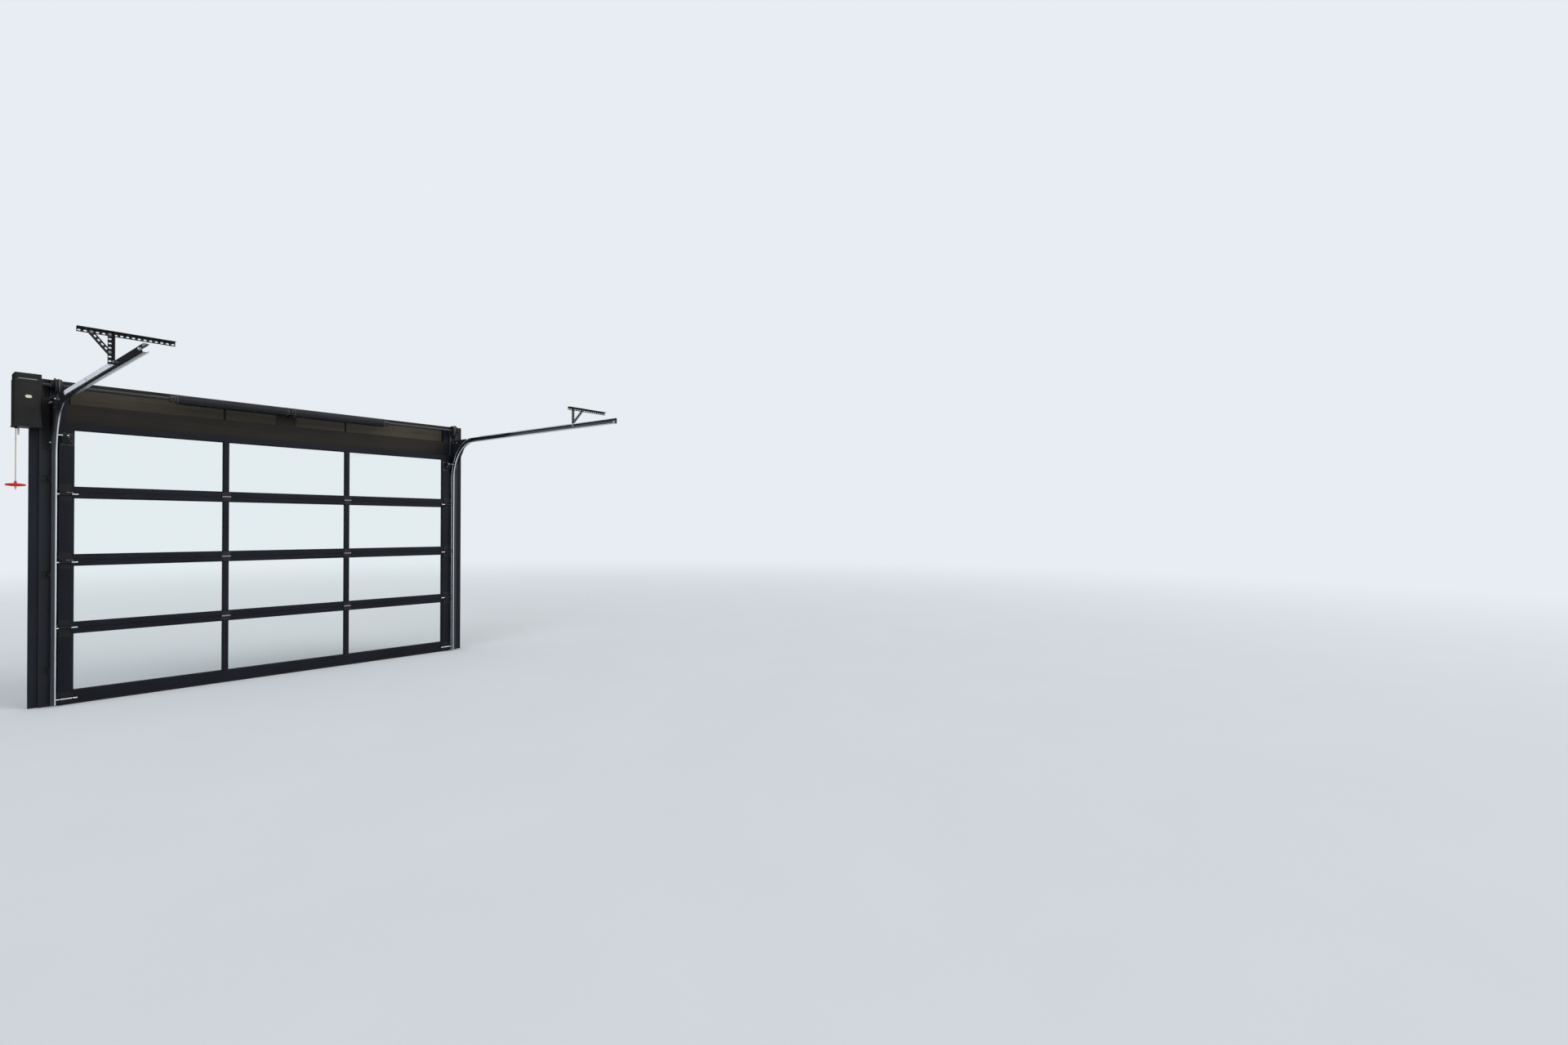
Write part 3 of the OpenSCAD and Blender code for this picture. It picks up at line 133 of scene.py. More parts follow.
class Finish:
    """A material with one Principled shader, built by expressions."""

    def __init__(self, name, colour, **fixed):
        self.material = bpy.data.materials.new(name)
        self.material.use_nodes = True
        self.tree = self.material.node_tree
        self.shader = self.tree.nodes["Principled BSDF"]
        self.set(Base_Color=opaque(colour), **fixed)
        self.place = self.node("TexCoord", {}, out="Object")

    def node(self, kind, settings, *values, out=0, **named):
        """Adds a node: settings first, then sockets in order or by name; returns one output."""
        new = self.tree.nodes.new("ShaderNode" + kind)
        for name, value in settings.items():
            setattr(new, name, value)
        for index, value in enumerate(values):
            self.feed(new.inputs[index], value)
        for key, value in named.items():
            self.feed(socket_of(new.inputs, key), value)
        return Signal(self, new.outputs[out])

    def feed(self, socket, value):
        if isinstance(value, Signal):
            self.tree.links.new(value.socket, socket)
        else:
            socket.default_value = value

    def set(self, **values):
        for key, value in values.items():
            self.feed(socket_of(self.shader.inputs, key), value)

    def mix(self, factor, first, second):
        """A colour between two colours; a Mix node keeps its colour sockets at numbers 6 and 7."""
        return self.node("Mix", {"data_type": "RGBA"}, out=2, _0=factor, _6=opaque(first), _7=opaque(second))

    def stretched(self, scale):
        """Object coordinates, scaled, so that a pattern runs along one axis."""
        return self.node("VectorMath", {"operation": "MULTIPLY"}, self.place, scale)

    def noise(self, scale, detail=3.0, rough=0.55, at=None, warp=0.0):
        return self.node("TexNoise", {}, out="Fac", Vector=at or self.place, Scale=scale, Detail=detail,
                         Roughness=rough, Distortion=warp)

    def axis(self, letter):
        return self.node("SeparateXYZ", {}, self.place, out=letter)

    def bump(self, height, strength, distance):
        normal = self.node("Bump", {}, out="Normal", Strength=strength, Distance=distance, Height=height)
        self.set(Normal=normal)


print("finish helpers ready")

# %% [markdown]
# ## The release rope
# A braided rope hangs from a boss under the opener and ends in a red T-shaped handle. The photograph shows it
# from end to end. The route repeats the round points that the solid model follows, straight down, because a
# limp rope with a weight on its end hangs plumb. The tube is made in mesh code with many sides, and its
# radius swells in a crossed pattern of eight strands, so the braid is real shape and catches light from any
# side.

# %% Pieces made of rings
def put(name, mesh, body="root", slot=None, material=None):
    """Links a finished mesh as a piece that rides on a body and takes the given material; the slot is not
    used.
    """
    piece = bpy.data.objects.new(name, mesh)
    scene.collection.objects.link(piece)
    if material:
        mesh.materials.clear()
        mesh.materials.append(material)
    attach(piece, body)
    return piece


def mesh_of(bm, name, smooth=True):
    """A mesh from a bmesh, with its normals outwards."""
    bmesh.ops.recalc_face_normals(bm, faces=bm.faces)
    mesh = bpy.data.meshes.new(name)
    bm.to_mesh(mesh)
    bm.free()
    for face in mesh.polygons:
        face.use_smooth = smooth
    return mesh


def rings(bm, loops, close):
    """Faces between rings of vertices, with both ends closed or left open."""
    made = [[bm.verts.new(p) for p in loop] for loop in loops]
    for low, high in zip(made, made[1:]):
        for k in range(len(low)):
            n = (k + 1) % len(low)
            bm.faces.new((low[k], low[n], high[n], high[k]))
    if close:
        bm.faces.new(made[0][::-1])
        bm.faces.new(made[-1])


def lofted(name, shells, smooth=True, hoop=False, **finish):
    """A piece of one or more skins that run from ring to ring. The last ring of a hoop lies on its first."""
    bm = bmesh.new()
    for loops in shells:
        rings(bm, loops, close=not hoop)
        if hoop:
            bmesh.ops.remove_doubles(bm, verts=bm.verts, dist=1e-7)
    return put(name, mesh_of(bm, name, smooth), **finish)


def round_angles(sides):
    return [2 * math.pi * k / sides for k in range(sides)]


print("mesh helpers ready")

# %% The rope's route and its braid
ROPE_X, ROPE_Y, ROPE_R = -1.754, -0.145, 0.003
ROPE_TOP, ROPE_END, ROPE_STEPS = 2.092 + FLOOR_Z, 1.706 + FLOOR_Z, 24


def braid(x, y, top, end, radius, sides=32, pitch=0.022, strands=4, step=0.0011, valley=0.86, swell=0.14):
    """Rings of a round braid: two sets of strands turn opposite ways and pass over each other in turn."""
    count = int(abs(end - top) / step)
    loops = []
    for i in range(count + 1):
        z = top + (end - top) * i / count
        turn = 2 * math.pi * (top - z) / pitch
        loop = []
        for a in round_angles(sides):
            left = max(math.cos(strands * (a + turn)), 0)
            right = max(math.cos(strands * (a - turn)), 0)
            over = 0.5 + 0.5 * math.cos(strands * 2 * turn) * math.cos(strands * 2 * a)
            r = radius * (valley + swell * (left * over + right * (1 - over)))
            loop.append((x + r * math.cos(a), y + r * math.sin(a), z))
        loops.append(loop)
    return loops


rope = lofted("release_rope", [braid(ROPE_X, ROPE_Y, ROPE_TOP, ROPE_END, ROPE_R)], slot="rope")
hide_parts("release_cord")
print("rope faces:", len(rope.data.polygons))

# %% [markdown]
# ## Floor and background
# The stage stays plain: one pale matt floor and a nearly white sky. A floor with an edge draws a hard line
# behind the panes, so this one melts into the sky's colour with its distance from the door. Near the door it
# is a real matt surface that keeps the door's shadow. The sky that the camera, metal and glass see is paler
# than the light it gives, and that light stays even and weak.

# %% Floor and sky
SKY, SKYLIGHT, SKYLIGHT_STRENGTH = (0.80, 0.845, 0.885), (0.95, 0.975, 1.0), 0.6
FLOOR_REACH, MELT_FROM, MELT_TO = 90, 5, 24
bm = bmesh.new()
bmesh.ops.create_grid(bm, x_segments=2, y_segments=2, size=FLOOR_REACH)
floor = bpy.data.objects.new("floor", mesh_of(bm, "floor"))
floor.data.transform(Matrix.Translation((0, 0, FLOOR_Z)))
scene.collection.objects.link(floor)
pale = Finish("floor_pale", (0.70, 0.72, 0.74), Roughness=0.8, Specular_IOR_Level=0.0)
pale.set(Base_Color=pale.mix(pale.noise(1.2, 2), (0.69, 0.715, 0.74), (0.72, 0.745, 0.77)))
distance = pale.node("VectorMath", {"operation": "LENGTH"}, pale.place, out="Value")
melted = pale.node("Emission", {}, Color=opaque(SKY), Strength=1.0)
matt = Signal(pale, pale.shader.outputs[0])
blended = pale.node("MixShader", {}, distance.over(MELT_FROM, MELT_TO), matt, melted)
pale.feed(pale.tree.nodes["Material Output"].inputs["Surface"], blended)
floor.data.materials.append(pale.material)

sky = bpy.data.worlds.new("sky")
sky.use_nodes = True
scene.world = sky
scene.view_settings.view_transform = "Standard"
links, made = sky.node_tree.links, sky.node_tree.nodes
path = made.new("ShaderNodeLightPath")
ambient, seen = made["Background"], made.new("ShaderNodeBackground")
ambient.inputs["Color"].default_value = opaque(SKYLIGHT)
ambient.inputs["Strength"].default_value = SKYLIGHT_STRENGTH
seen.inputs["Color"].default_value = opaque(SKY)
either = path.outputs["Is Camera Ray"]
for ray in ("Is Transmission Ray", "Is Glossy Ray"):
    larger = made.new("ShaderNodeMath")
    larger.operation = "MAXIMUM"
    links.new(either, larger.inputs[0])
    links.new(path.outputs[ray], larger.inputs[1])
    either = larger.outputs[0]
blend = made.new("ShaderNodeMixShader")
links.new(either, blend.inputs["Fac"])
links.new(ambient.outputs[0], blend.inputs[1])
links.new(seen.outputs[0], blend.inputs[2])
links.new(blend.outputs[0], made["World Output"].inputs["Surface"])
print("floor at", FLOOR_Z, "sky", SKY)

# %% [markdown]
# ## Light
# Black satin metal and glass show whatever they mirror, and a lamp with edges would stand in every pane as a
# hard white shape. So both lamps are suns with a very wide disc, which light all places alike and leave no
# patch on the floor. The first comes from high on the right, indoors, and gives the plain level. The second
# comes low from the left, is cooler, and fills the faces that look that way; no mirror sees it. A dark card
# stands beside the door, past its left edge: only mirror-like rays see it, and it keeps the side of the
# overhead track black.

# %% Lamps and the dark card
def soft_sun(name, place, energy, spread, tint, in_mirrors=True):
    """A wide sun that shines from a place towards the object, and that no camera ray sees."""
    lamp = bpy.data.lights.new(name, "SUN")
    lamp.energy, lamp.angle, lamp.color = energy, math.radians(spread), tint
    holder = bpy.data.objects.new(name, lamp)
    holder.location = place
    holder.rotation_euler = (-Vector(place)).to_track_quat("-Z", "Y").to_euler()
    holder.visible_camera = holder.visible_transmission = False
    holder.visible_glossy = in_mirrors
    scene.collection.objects.link(holder)


soft_sun("room_key", (5, -7, 6), energy=1.1, spread=50, tint=(1.0, 0.985, 0.96))
soft_sun("room_fill", (-9, -3.5, 1.8), energy=2.0, spread=60, tint=(0.88, 0.94, 1.0), in_mirrors=False)

CARD_MIDDLE, CARD_WIDE, CARD_HIGH = (-3.05, 0.35, 0.2), 2.7, 4.8
bm = bmesh.new()
bmesh.ops.create_grid(bm, x_segments=1, y_segments=1, size=0.5)
card_mesh = mesh_of(bm, "dark_card")
card_mesh.transform(Matrix.Translation(CARD_MIDDLE) @ Matrix.Rotation(math.radians(90), 4, "X")
                    @ Matrix.Diagonal((CARD_WIDE, CARD_HIGH, 1, 1)))
card = bpy.data.objects.new("dark_card", card_mesh)
scene.collection.objects.link(card)
card.visible_camera = card.visible_transmission = card.visible_diffuse = card.visible_shadow = False
card_mesh.materials.append(Finish("card_black", (0.01, 0.01, 0.01), Roughness=0.9).material)

# %% [markdown]
# ## Worn edges
# Paint and stain wear off first where a hand or a tool meets an edge. The Bevel node gives the normal that a
# slightly rounded edge would have, and where it leans away from the true normal there is an edge. Its answer
# is broken up by noise, so the wear comes in patches, as real wear does.

# %% Find the edges
def worn_edges(f, radius, patches=60):
    """1 along edges and corners, in patches, and 0 on flat faces."""
    rounded = f.node("Bevel", {"samples": 4}, radius)
    true = f.node("NewGeometry", {}, out="True Normal")
    lean = f.node("VectorMath", {"operation": "DOT_PRODUCT"}, rounded, true, out="Value")
    return (1 - lean.over(0.80, 0.95)) * f.noise(patches, 5, 0.7).over(0.44, 0.62)


# %% [markdown]
# ## Stained boards
# The boards round the opening are softwood under a dark stain that has some sheen. Such wood shows fine pores
# along its length, slow bands of darker and lighter stain, and paler corners where things have rubbed it. The
# grain comes from noise that is squeezed across the board and stretched along it. Upright and level boards
# need the same recipe with a different axis, so one function makes both. The track boards carry a bluer,
# blacker coat, and the panels over the head board are paler and duller than the head board.

# %% Wood finishes
def stained(name, dark, light, along, rough, coat, spec=0.2):
    """Stained wood whose grain runs along z for upright boards and along x for level ones."""
    f = Finish(name, light, Coat_Weight=coat, Coat_Roughness=0.3, Specular_IOR_Level=spec)
    squeeze = (1, 1, 0.03) if along == "z" else (0.03, 1, 1)
    grain = f.noise(120, 4, 0.6, f.stretched(squeeze), 0.3)
    pores = f.noise(480, 2, 0.5, f.stretched(squeeze)).over(0.56, 0.72)
    bands = f.noise(10, 3, 0.5, f.stretched(squeeze), 0.6)
    clouds = f.noise(1.6, 4, 0.55)
    body = f.mix((grain * 0.3 + bands * 0.35 + clouds * 0.35).over(0.36, 0.64), dark, light)
    body = f.mix(pores * 0.35, body, tuple(c * 0.4 for c in dark))
    rubbed = worn_edges(f, 0.003, 25)
    body = f.mix(rubbed * 0.5, body, tuple(c * 2.6 + 0.02 for c in light))
    f.set(Base_Color=body,
          Roughness=(grain * 0.14 + clouds * 0.12 + rubbed * 0.1 + (rough - 0.13)).clamped())
    f.bump(grain * 0.5 - pores * 0.5, 0.2, 0.0005)
    return f.material


upright_stain = stained("stain_upright", (0.006, 0.008, 0.012), (0.013, 0.015, 0.022), "z", rough=0.46,
                        coat=0.06, spec=0.12)
track_stain = stained("stain_track_board", (0.005, 0.006, 0.010), (0.010, 0.012, 0.019), "z", rough=0.40,
                      coat=0.2)
level_stain = stained("stain_level", (0.009, 0.0075, 0.0055), (0.019, 0.0160, 0.0115), "x", rough=0.5,
                      coat=0.05, spec=0.15)
panel_stain = stained("stain_panel", (0.036, 0.030, 0.022), (0.068, 0.058, 0.043), "x", rough=0.62,
                      coat=0.0, spec=0.15)
print("wood finishes made")

# %% [markdown]
# ## Black metal
# Three black metals meet here. The rails and stiles are extruded aluminium under a satin black coat: very
# fine lines run along each extrusion, and the coat turns a little blue where it meets the light. Brackets,
# hinges and hangers are steel under powder coat, which is slightly bumpy, like an orange's skin. The track is
# rolled from strip and painted with a harder, smoother black. Its lips are laid as bright bare metal, partly
# rubbed by the rollers and partly painted highlight: they are the thin light line that runs up both sides and
# on overhead. The fronts of the hinge knuckles are laid grey as painted highlight, the top brackets are bare
# along their edges in a pale metal that is partly wear and partly painted glint, and the rest is bare along a
# few edges only.

# %% Coated metals
RAGGED_LIP, RAGGED_FRONT_HIGHLIGHT = 0.0012, 0.0015


def coated(name, dark, light, rough, peel, lines=None, gloss=0.0, spec=0.3, wear=0.4, skin_height=0.2,
           edge=0.0012, lip_wear_and_highlight_to=None, painted_highlight_front=None, bare_tone=(0.32, 0.32, 0.33)):
    """A painted metal: slow changes of tone, a fine skin, drawn lines, bare edges, bright lips that are
    partly wear and partly painted highlight, and fronts laid grey as painted highlight.
    """
    f = Finish(name, light, Specular_IOR_Level=spec, Coat_Weight=gloss, Coat_Roughness=0.15)
    slow = f.noise(2.7, 4, 0.6)
    skin = f.noise(peel, 2, 0.5)
    height, tone = skin * 0.5, slow * 0.75 + skin * 0.25
    if lines:
        drawn = f.noise(900, 1, 0.4, f.stretched(lines))
        height, tone = height + drawn * 0.6, tone * 0.75 + drawn * 0.25
    bare_metal = (worn_edges(f, edge) * wear).clamped()
    body = f.mix(bare_metal, f.mix(tone.over(0.3, 0.7), dark, light), bare_tone)
    if lip_wear_and_highlight_to:
        # Lips laid as pale bare metal: partly rubbed by the rollers, partly painted highlight.
        ragged = f.axis("X").size() + f.noise(45, 3, 0.6) * RAGGED_LIP
        lip_wear_and_highlight = 1 - ragged.over(lip_wear_and_highlight_to, lip_wear_and_highlight_to + RAGGED_LIP)
        body = f.mix(lip_wear_and_highlight, body, f.mix(slow, (0.66, 0.69, 0.74), (0.78, 0.81, 0.86)))
        bare_metal = (bare_metal + lip_wear_and_highlight).clamped()
    if painted_highlight_front:
        # Painted highlight: the part of each hinge knuckle in front of the leaf is laid grey, partly metal,
        # where its highlight falls.
        ragged = f.noise(160, 4, 0.6) * RAGGED_FRONT_HIGHLIGHT - f.axis("Y")
        front = ragged.over(painted_highlight_front, painted_highlight_front + RAGGED_FRONT_HIGHLIGHT) * 0.7
        body = f.mix(front, body, (0.34, 0.335, 0.33))
        bare_metal = (bare_metal + front).clamped()
    f.set(Base_Color=body, Roughness=(slow * 0.12 + (rough - 0.06)).clamped(), Metallic=bare_metal)
    f.bump(height, skin_height, 0.0004)
    return f.material


EXTRUSION = (0.0038, 0.0045, 0.0078), (0.0080, 0.0095, 0.0155)
SATIN = {"rough": 0.34, "peel": 700, "wear": 0.2, "skin_height": 0.15, "spec": 0.16}
POWDER = (0.006, 0.006, 0.007), (0.012, 0.012, 0.014)
level_frame = coated("black_extrusion_level", *EXTRUSION, lines=(0.004, 1, 1), **SATIN)
upright_frame = coated("black_extrusion_upright", *EXTRUSION, lines=(1, 1, 0.004), **SATIN)
powder = coated("black_powder_coat", *POWDER, rough=0.46, peel=1100, wear=0.5, spec=0.22)
hinge_coat_highlit = coated("black_hinge_coat", *POWDER, rough=0.42, peel=1100, wear=0.5, painted_highlight_front=0.0935)
# Partly wear, partly painted glint: the top brackets' edges are worn far more, and to a paler metal, than any
# other coat.
bracket_coat_glint_edges = coated("black_bracket_coat", *POWDER, rough=0.46, peel=1100, wear=1.8, edge=0.0017,
                      bare_tone=(0.60, 0.61, 0.62))
track_paint = coated("black_track_paint", (0.0070, 0.0075, 0.0105), (0.0120, 0.0130, 0.0180), rough=0.15,
                     peel=500, spec=0.6, wear=0.2, skin_height=0.04, lip_wear_and_highlight_to=1.5470)
spring_paint = coated("black_spring_coat", (0.006, 0.0065, 0.0090), (0.013, 0.0140, 0.0190), rough=0.34,
                      peel=900, gloss=0.2, wear=0.0, skin_height=0.1)
print("coated metals made")

# %% [markdown]
# ## Bare metal
# Stems and some of the bolts are bright against the black. Zinc plate is nearly neutral, with a faint mottle
# of its crystals and fine scratches, and up at the hangers it has gone dull. Drums and cones are castings
# under thin dark paint, coarser than sheet steel. The angle on the overhead track is smooth galvanised strip,
# the palest metal of all: zinc that has met the air turns half matt, so only part of it acts as a mirror.
# Each cable is seven fine strands laid in a spiral under a film of dark grease, and its finish carries
# slanting grooves, painted near black between the strands as painted shade.

# %% Bare metals
def bare(name, dark, light, rough, mottle, scratch=(1, 1, 1), metal=1.0, grime_share=0.35):
    """A bare metal: a mottle of crystals, fine scratches and some grime."""
    f = Finish(name, light, Metallic=metal)
    patches = f.node("TexVoronoi", {"feature": "F1"}, Vector=f.place, Scale=mottle, out="Color")
    patches = f.node("SeparateXYZ", {}, patches, out="X")
    fine = f.noise(1500, 2, 0.5, f.stretched(scratch))
    grime = f.noise(45, 5, 0.65).over(0.5, 0.8)
    body = f.mix((patches * 0.6 + fine * 0.4).clamped(), dark, light)
    body = f.mix(grime * grime_share, body, tuple(c * 0.35 for c in dark))
    f.set(Base_Color=body, Roughness=(patches * 0.10 + fine * 0.14 + grime * 0.2 + (rough - 0.12)).clamped())
    f.bump(fine * 0.4, 0.2, 0.0003)
    return f


zinc = bare("zinc_plate", (0.50, 0.51, 0.53), (0.74, 0.75, 0.77), rough=0.26, mottle=220).material
dull_zinc = bare("zinc_gone_dull", (0.20, 0.20, 0.205), (0.34, 0.34, 0.35), rough=0.5, mottle=260,
                 metal=0.6).material
galvanised = bare("galvanised_strip", (0.76, 0.79, 0.84), (0.85, 0.88, 0.92), rough=0.42, mottle=70,
                  scratch=(1, 0.02, 1), metal=0.25, grime_share=0.04).material
casting = coated("drum_casting", (0.016, 0.016, 0.018), (0.030, 0.030, 0.033), rough=0.5, peel=260, wear=0.4,
                 spec=0.2)
cone_paint = coated("cone_paint", (0.020, 0.020, 0.022), (0.040, 0.040, 0.043), rough=0.5, peel=350)

strands = bare("cable_strands", (0.20, 0.20, 0.205), (0.30, 0.305, 0.31), rough=0.48, mottle=300, metal=0.8)
lay = (strands.axis("Z") * 900 + strands.axis("X") * 1900 + strands.axis("Y") * 1900).sine()
shaded_grooves = lay.over(-0.9, -0.2)
# Painted shade: the grooves between the strands are darkened in the colour, as well as sunk by the bump.
strands.set(Base_Color=strands.mix(shaded_grooves, (0.030, 0.030, 0.031), (0.26, 0.265, 0.27)))
strands.bump(shaded_grooves, 0.8, 0.0005)
cable_strands = strands.material
print("bare metals made")

# %% [markdown]
# ## Glass, rubber and plastics
# The panes are clear float glass with a faint green in their thickness. Rubber seals are matt and slightly
# speckled. The opener's cover is moulded plastic with a fine spark-eroded grain. The handle is moulded red
# plastic with a soft shine, and its red varies a little, so that it doesn't look flat.

# %% Glass, rubber and plastics
clear = Finish("pane_glass", (0.95, 0.985, 0.97), Roughness=0.0, IOR=1.45, Transmission_Weight=1.0)
smears = clear.noise(2.4, 4, 0.6).over(0.5, 0.8)
clear.set(Roughness=smears * 0.012,
          Base_Color=clear.mix(smears * 0.3, (0.96, 0.99, 0.975), (0.93, 0.97, 0.955)))
pane_glass = clear.material


def moulded(name, dark, light, rough, grain, strength, spec=0.4, coat=0.0):
    """Rubber or plastic: a speckle over slow clouds, and a grain of its own fineness and strength."""
    f = Finish(name, light, Roughness=rough, Specular_IOR_Level=spec, Coat_Weight=coat, Coat_Roughness=0.12)
    speck = f.noise(grain, 3, 0.6)
    cloud = f.noise(7, 3, 0.55)
    f.set(Base_Color=f.mix((speck * 0.4 + cloud * 0.6).over(0.35, 0.65), dark, light),
          Roughness=(speck * 0.15 + cloud * 0.12 + (rough - 0.12)).clamped())
    f.bump(speck, strength, 0.0003)
    return f.material


rubber = moulded("seal_rubber", (0.006, 0.006, 0.007), (0.014, 0.014, 0.015), rough=0.78, grain=900,
                 strength=0.4, spec=0.3)
black_nylon = moulded("roller_nylon", (0.010, 0.010, 0.011), (0.020, 0.020, 0.022), rough=0.45, grain=700,
                      strength=0.15)
housing = moulded("opener_plastic", (0.009, 0.0085, 0.0080), (0.017, 0.016, 0.015), rough=0.48, grain=1600,
                  strength=0.4, spec=0.2)
red_plastic = moulded("handle_red", (0.38, 0.006, 0.006), (0.54, 0.012, 0.010), rough=0.36, grain=500,
                      strength=0.08, spec=0.3, coat=0.12)
print("glass, rubber and plastics made")

# %% [markdown]
# ## Rope
# Tan polyester yarn is matt and a little fuzzy. The braid is real shape, so the finish only adds the fine
# yarns inside each strand and a slow change from clean to handled rope.

# %% Rope finish
tan = Finish("rope_yarn", (0.45, 0.30, 0.17), Roughness=0.85, Sheen_Weight=0.25)
yarns = tan.noise(2600, 2, 0.5, tan.stretched((1, 1, 0.3)))
handled = tan.noise(14, 3, 0.6, tan.stretched((0.2, 0.2, 1)))
dark_yarn = tan.mix(handled, (0.30, 0.19, 0.10), (0.36, 0.24, 0.13))
light_yarn = tan.mix(handled, (0.50, 0.34, 0.20), (0.58, 0.41, 0.25))
tan.set(Base_Color=tan.mix(yarns.over(0.3, 0.7), dark_yarn, light_yarn))
tan.bump(yarns, 0.5, 0.0002)
rope_yarn = tan.material
rope.data.materials.append(rope_yarn)
print("rope finish made")

# %% [markdown]
# ## Finishes on the measured solids
# Each node of the model keeps its shape and takes one finish. A level rail and an upright stile use the same
# coat, but its fine lines run the other way.

# %% Give each node its finish
LEVELS = ("bottom", "second", "third", "top")
finishes = {
    upright_stain: ["left_jamb_board", "right_jamb_board"],
    track_stain: ["track_boards"],
    level_stain: ["head_board", "upper_head_board", "spring_pad"],
    panel_stain: ["header_panels"],
    rubber: ["perimeter_seal", "bottom_seal"],
    level_frame: [f"{level}_section_rails" for level in LEVELS],
    upright_frame: [f"{level}_section_stiles" for level in LEVELS],
    pane_glass: [f"{level}_section_glass" for level in LEVELS],
    hinge_coat_highlit: ["centre_hinges"],
    bracket_coat_glint_edges: ["top_brackets"],
    powder: ["end_hinges", "bottom_brackets", "jamb_brackets", "corner_plates", "ceiling_angles",
             "hanger_legs", "hanger_braces", "bearing_plates", "opener_bracket"],
    track_paint: ["left_vertical_track", "right_vertical_track", "left_horizontal_track",
                  "right_horizontal_track"],
    galvanised: ["track_angles"],
    spring_paint: ["left_spring", "right_spring", "torsion_shaft"],
    zinc: ["roller_stems"],
    cable_strands: ["lift_cables"],
    casting: ["cable_drums"],
    cone_paint: ["spring_cones"],
    black_nylon: ["roller_wheels"],
    housing: ["opener_housing"],
    red_plastic: ["release_handle"],
    rope_yarn: ["release_cord"],
}
for material, names in finishes.items():
    for name in names:
        mesh = nodes[name].data
        mesh.materials.clear()
        mesh.materials.append(material)
print("nodes with a finish:", sum(len(names) for names in finishes.values()), "of", len(nodes))

# %% [markdown]
# ## Geometry Nodes in a script
# Springs, bolts and screws repeat or follow a rule, so Geometry Nodes make them. The class below builds one
# tree: its inputs have names and defaults, and every node is added by type, settings and sockets, as in the
# finishes above. `grow` sets the inputs by their identifiers, evaluates the tree once, and turns the result
# into a plain mesh.

# %% Tree builder
class Tree:
    """A geometry node tree with named inputs and one geometry output."""

    def __init__(self, name, **inputs):
        self.group = bpy.data.node_groups.new(name, "GeometryNodeTree")
        self.group.interface.new_socket("Geometry", in_out="INPUT", socket_type="NodeSocketGeometry")
        for label, value in inputs.items():
            kind = "NodeSocketInt" if isinstance(value, int) else "NodeSocketFloat"
            self.group.interface.new_socket(label, in_out="INPUT", socket_type=kind).default_value = value
        self.group.interface.new_socket("Geometry", in_out="OUTPUT", socket_type="NodeSocketGeometry")
        self.start = self.group.nodes.new("NodeGroupInput")
        self.end = self.group.nodes.new("NodeGroupOutput")

    def input(self, label):
        return self.start.outputs[label]

    def node(self, kind, settings=None, out=0, **values):
        new = self.group.nodes.new(kind)
        for name, value in (settings or {}).items():
            setattr(new, name, value)
        for key, value in values.items():
            socket = socket_of(new.inputs, key)
            if isinstance(value, list):
                for link in value:
                    self.group.links.new(link, socket)
            elif isinstance(value, bpy.types.NodeSocket):
                self.group.links.new(value, socket)
            else:
                socket.default_value = value
        return new.outputs[out]

    def math(self, operation, first, second):
        return self.node("ShaderNodeMath", {"operation": operation}, _0=first, _1=second)

    def share(self, value, part):
        return self.math("MULTIPLY", value, part)

    def lifted(self, geometry, height):
        """The geometry, moved up by a height that may be worked out in the tree."""
        up = self.node("ShaderNodeCombineXYZ", X=0.0, Y=0.0, Z=height)
        return self.node("GeometryNodeTransform", Geometry=geometry, Translation=up)

    def finish(self, geometry, material):
        real = self.node("GeometryNodeRealizeInstances", Geometry=geometry)
        painted = self.node("GeometryNodeSetMaterial", Geometry=real, Material=material)
        self.group.links.new(painted, self.end.inputs["Geometry"])


def grow(name, tree, start, material, slot, **inputs):
    """Runs a tree on a start mesh and keeps the result as a plain mesh on the root body."""
    seed = bpy.data.objects.new(name + "_start", start)
    scene.collection.objects.link(seed)
    modifier = seed.modifiers.new("grow", "NODES")
    modifier.node_group = tree.group
    for item in tree.group.interface.items_tree:
        if item.in_out == "INPUT" and item.name in inputs:
            modifier[item.identifier] = inputs[item.name]
    seen_by = bpy.context.evaluated_depsgraph_get()
    mesh = bpy.data.meshes.new_from_object(seed.evaluated_get(seen_by))
    mesh.name = name
    seed.modifiers.clear()
    bpy.data.objects.remove(seed)
    piece = put(name, mesh, slot=slot, material=material)
    print(name, "triangles:", sum(len(p.vertices) - 2 for p in mesh.polygons))
    return piece


def points(name, places):
    """A start mesh of loose points, in metres."""
    mesh = bpy.data.meshes.new(name)
    mesh.from_pydata(places, [], [])
    return mesh


# %% [markdown]
# ## Torsion springs
# Each spring is about 108 turns of 7.2 mm wire, wound tight, coil against coil. The solid model holds a
# closed tube that is rounded turn by turn. A spiral curve swept by a small circle gives the real wire, which
# climbs as it turns and ends in a cut tip. The coil leaves a hair's breadth between its turns, as a wound
# spring does. Places are written in millimetres from here on, and `above_floor` brings them to the frame.

# %% Coils of wire
SHAFT, PAD_X, SPRING_START, SPRING_LEN, SPRING_R, WIRE_R = (-124, 2440), -18, 34, 780, 41, 3.6
TURNS_KEPT, WIRE_KEPT, WIRE_SIDES, STEPS_A_TURN = 0.997, 0.97, 9, 26


def above_floor(x, y, z):
    """A place in the frame, in metres, from millimetres above the floor."""
    return x / 1000, y / 1000, z / 1000 + FLOOR_Z


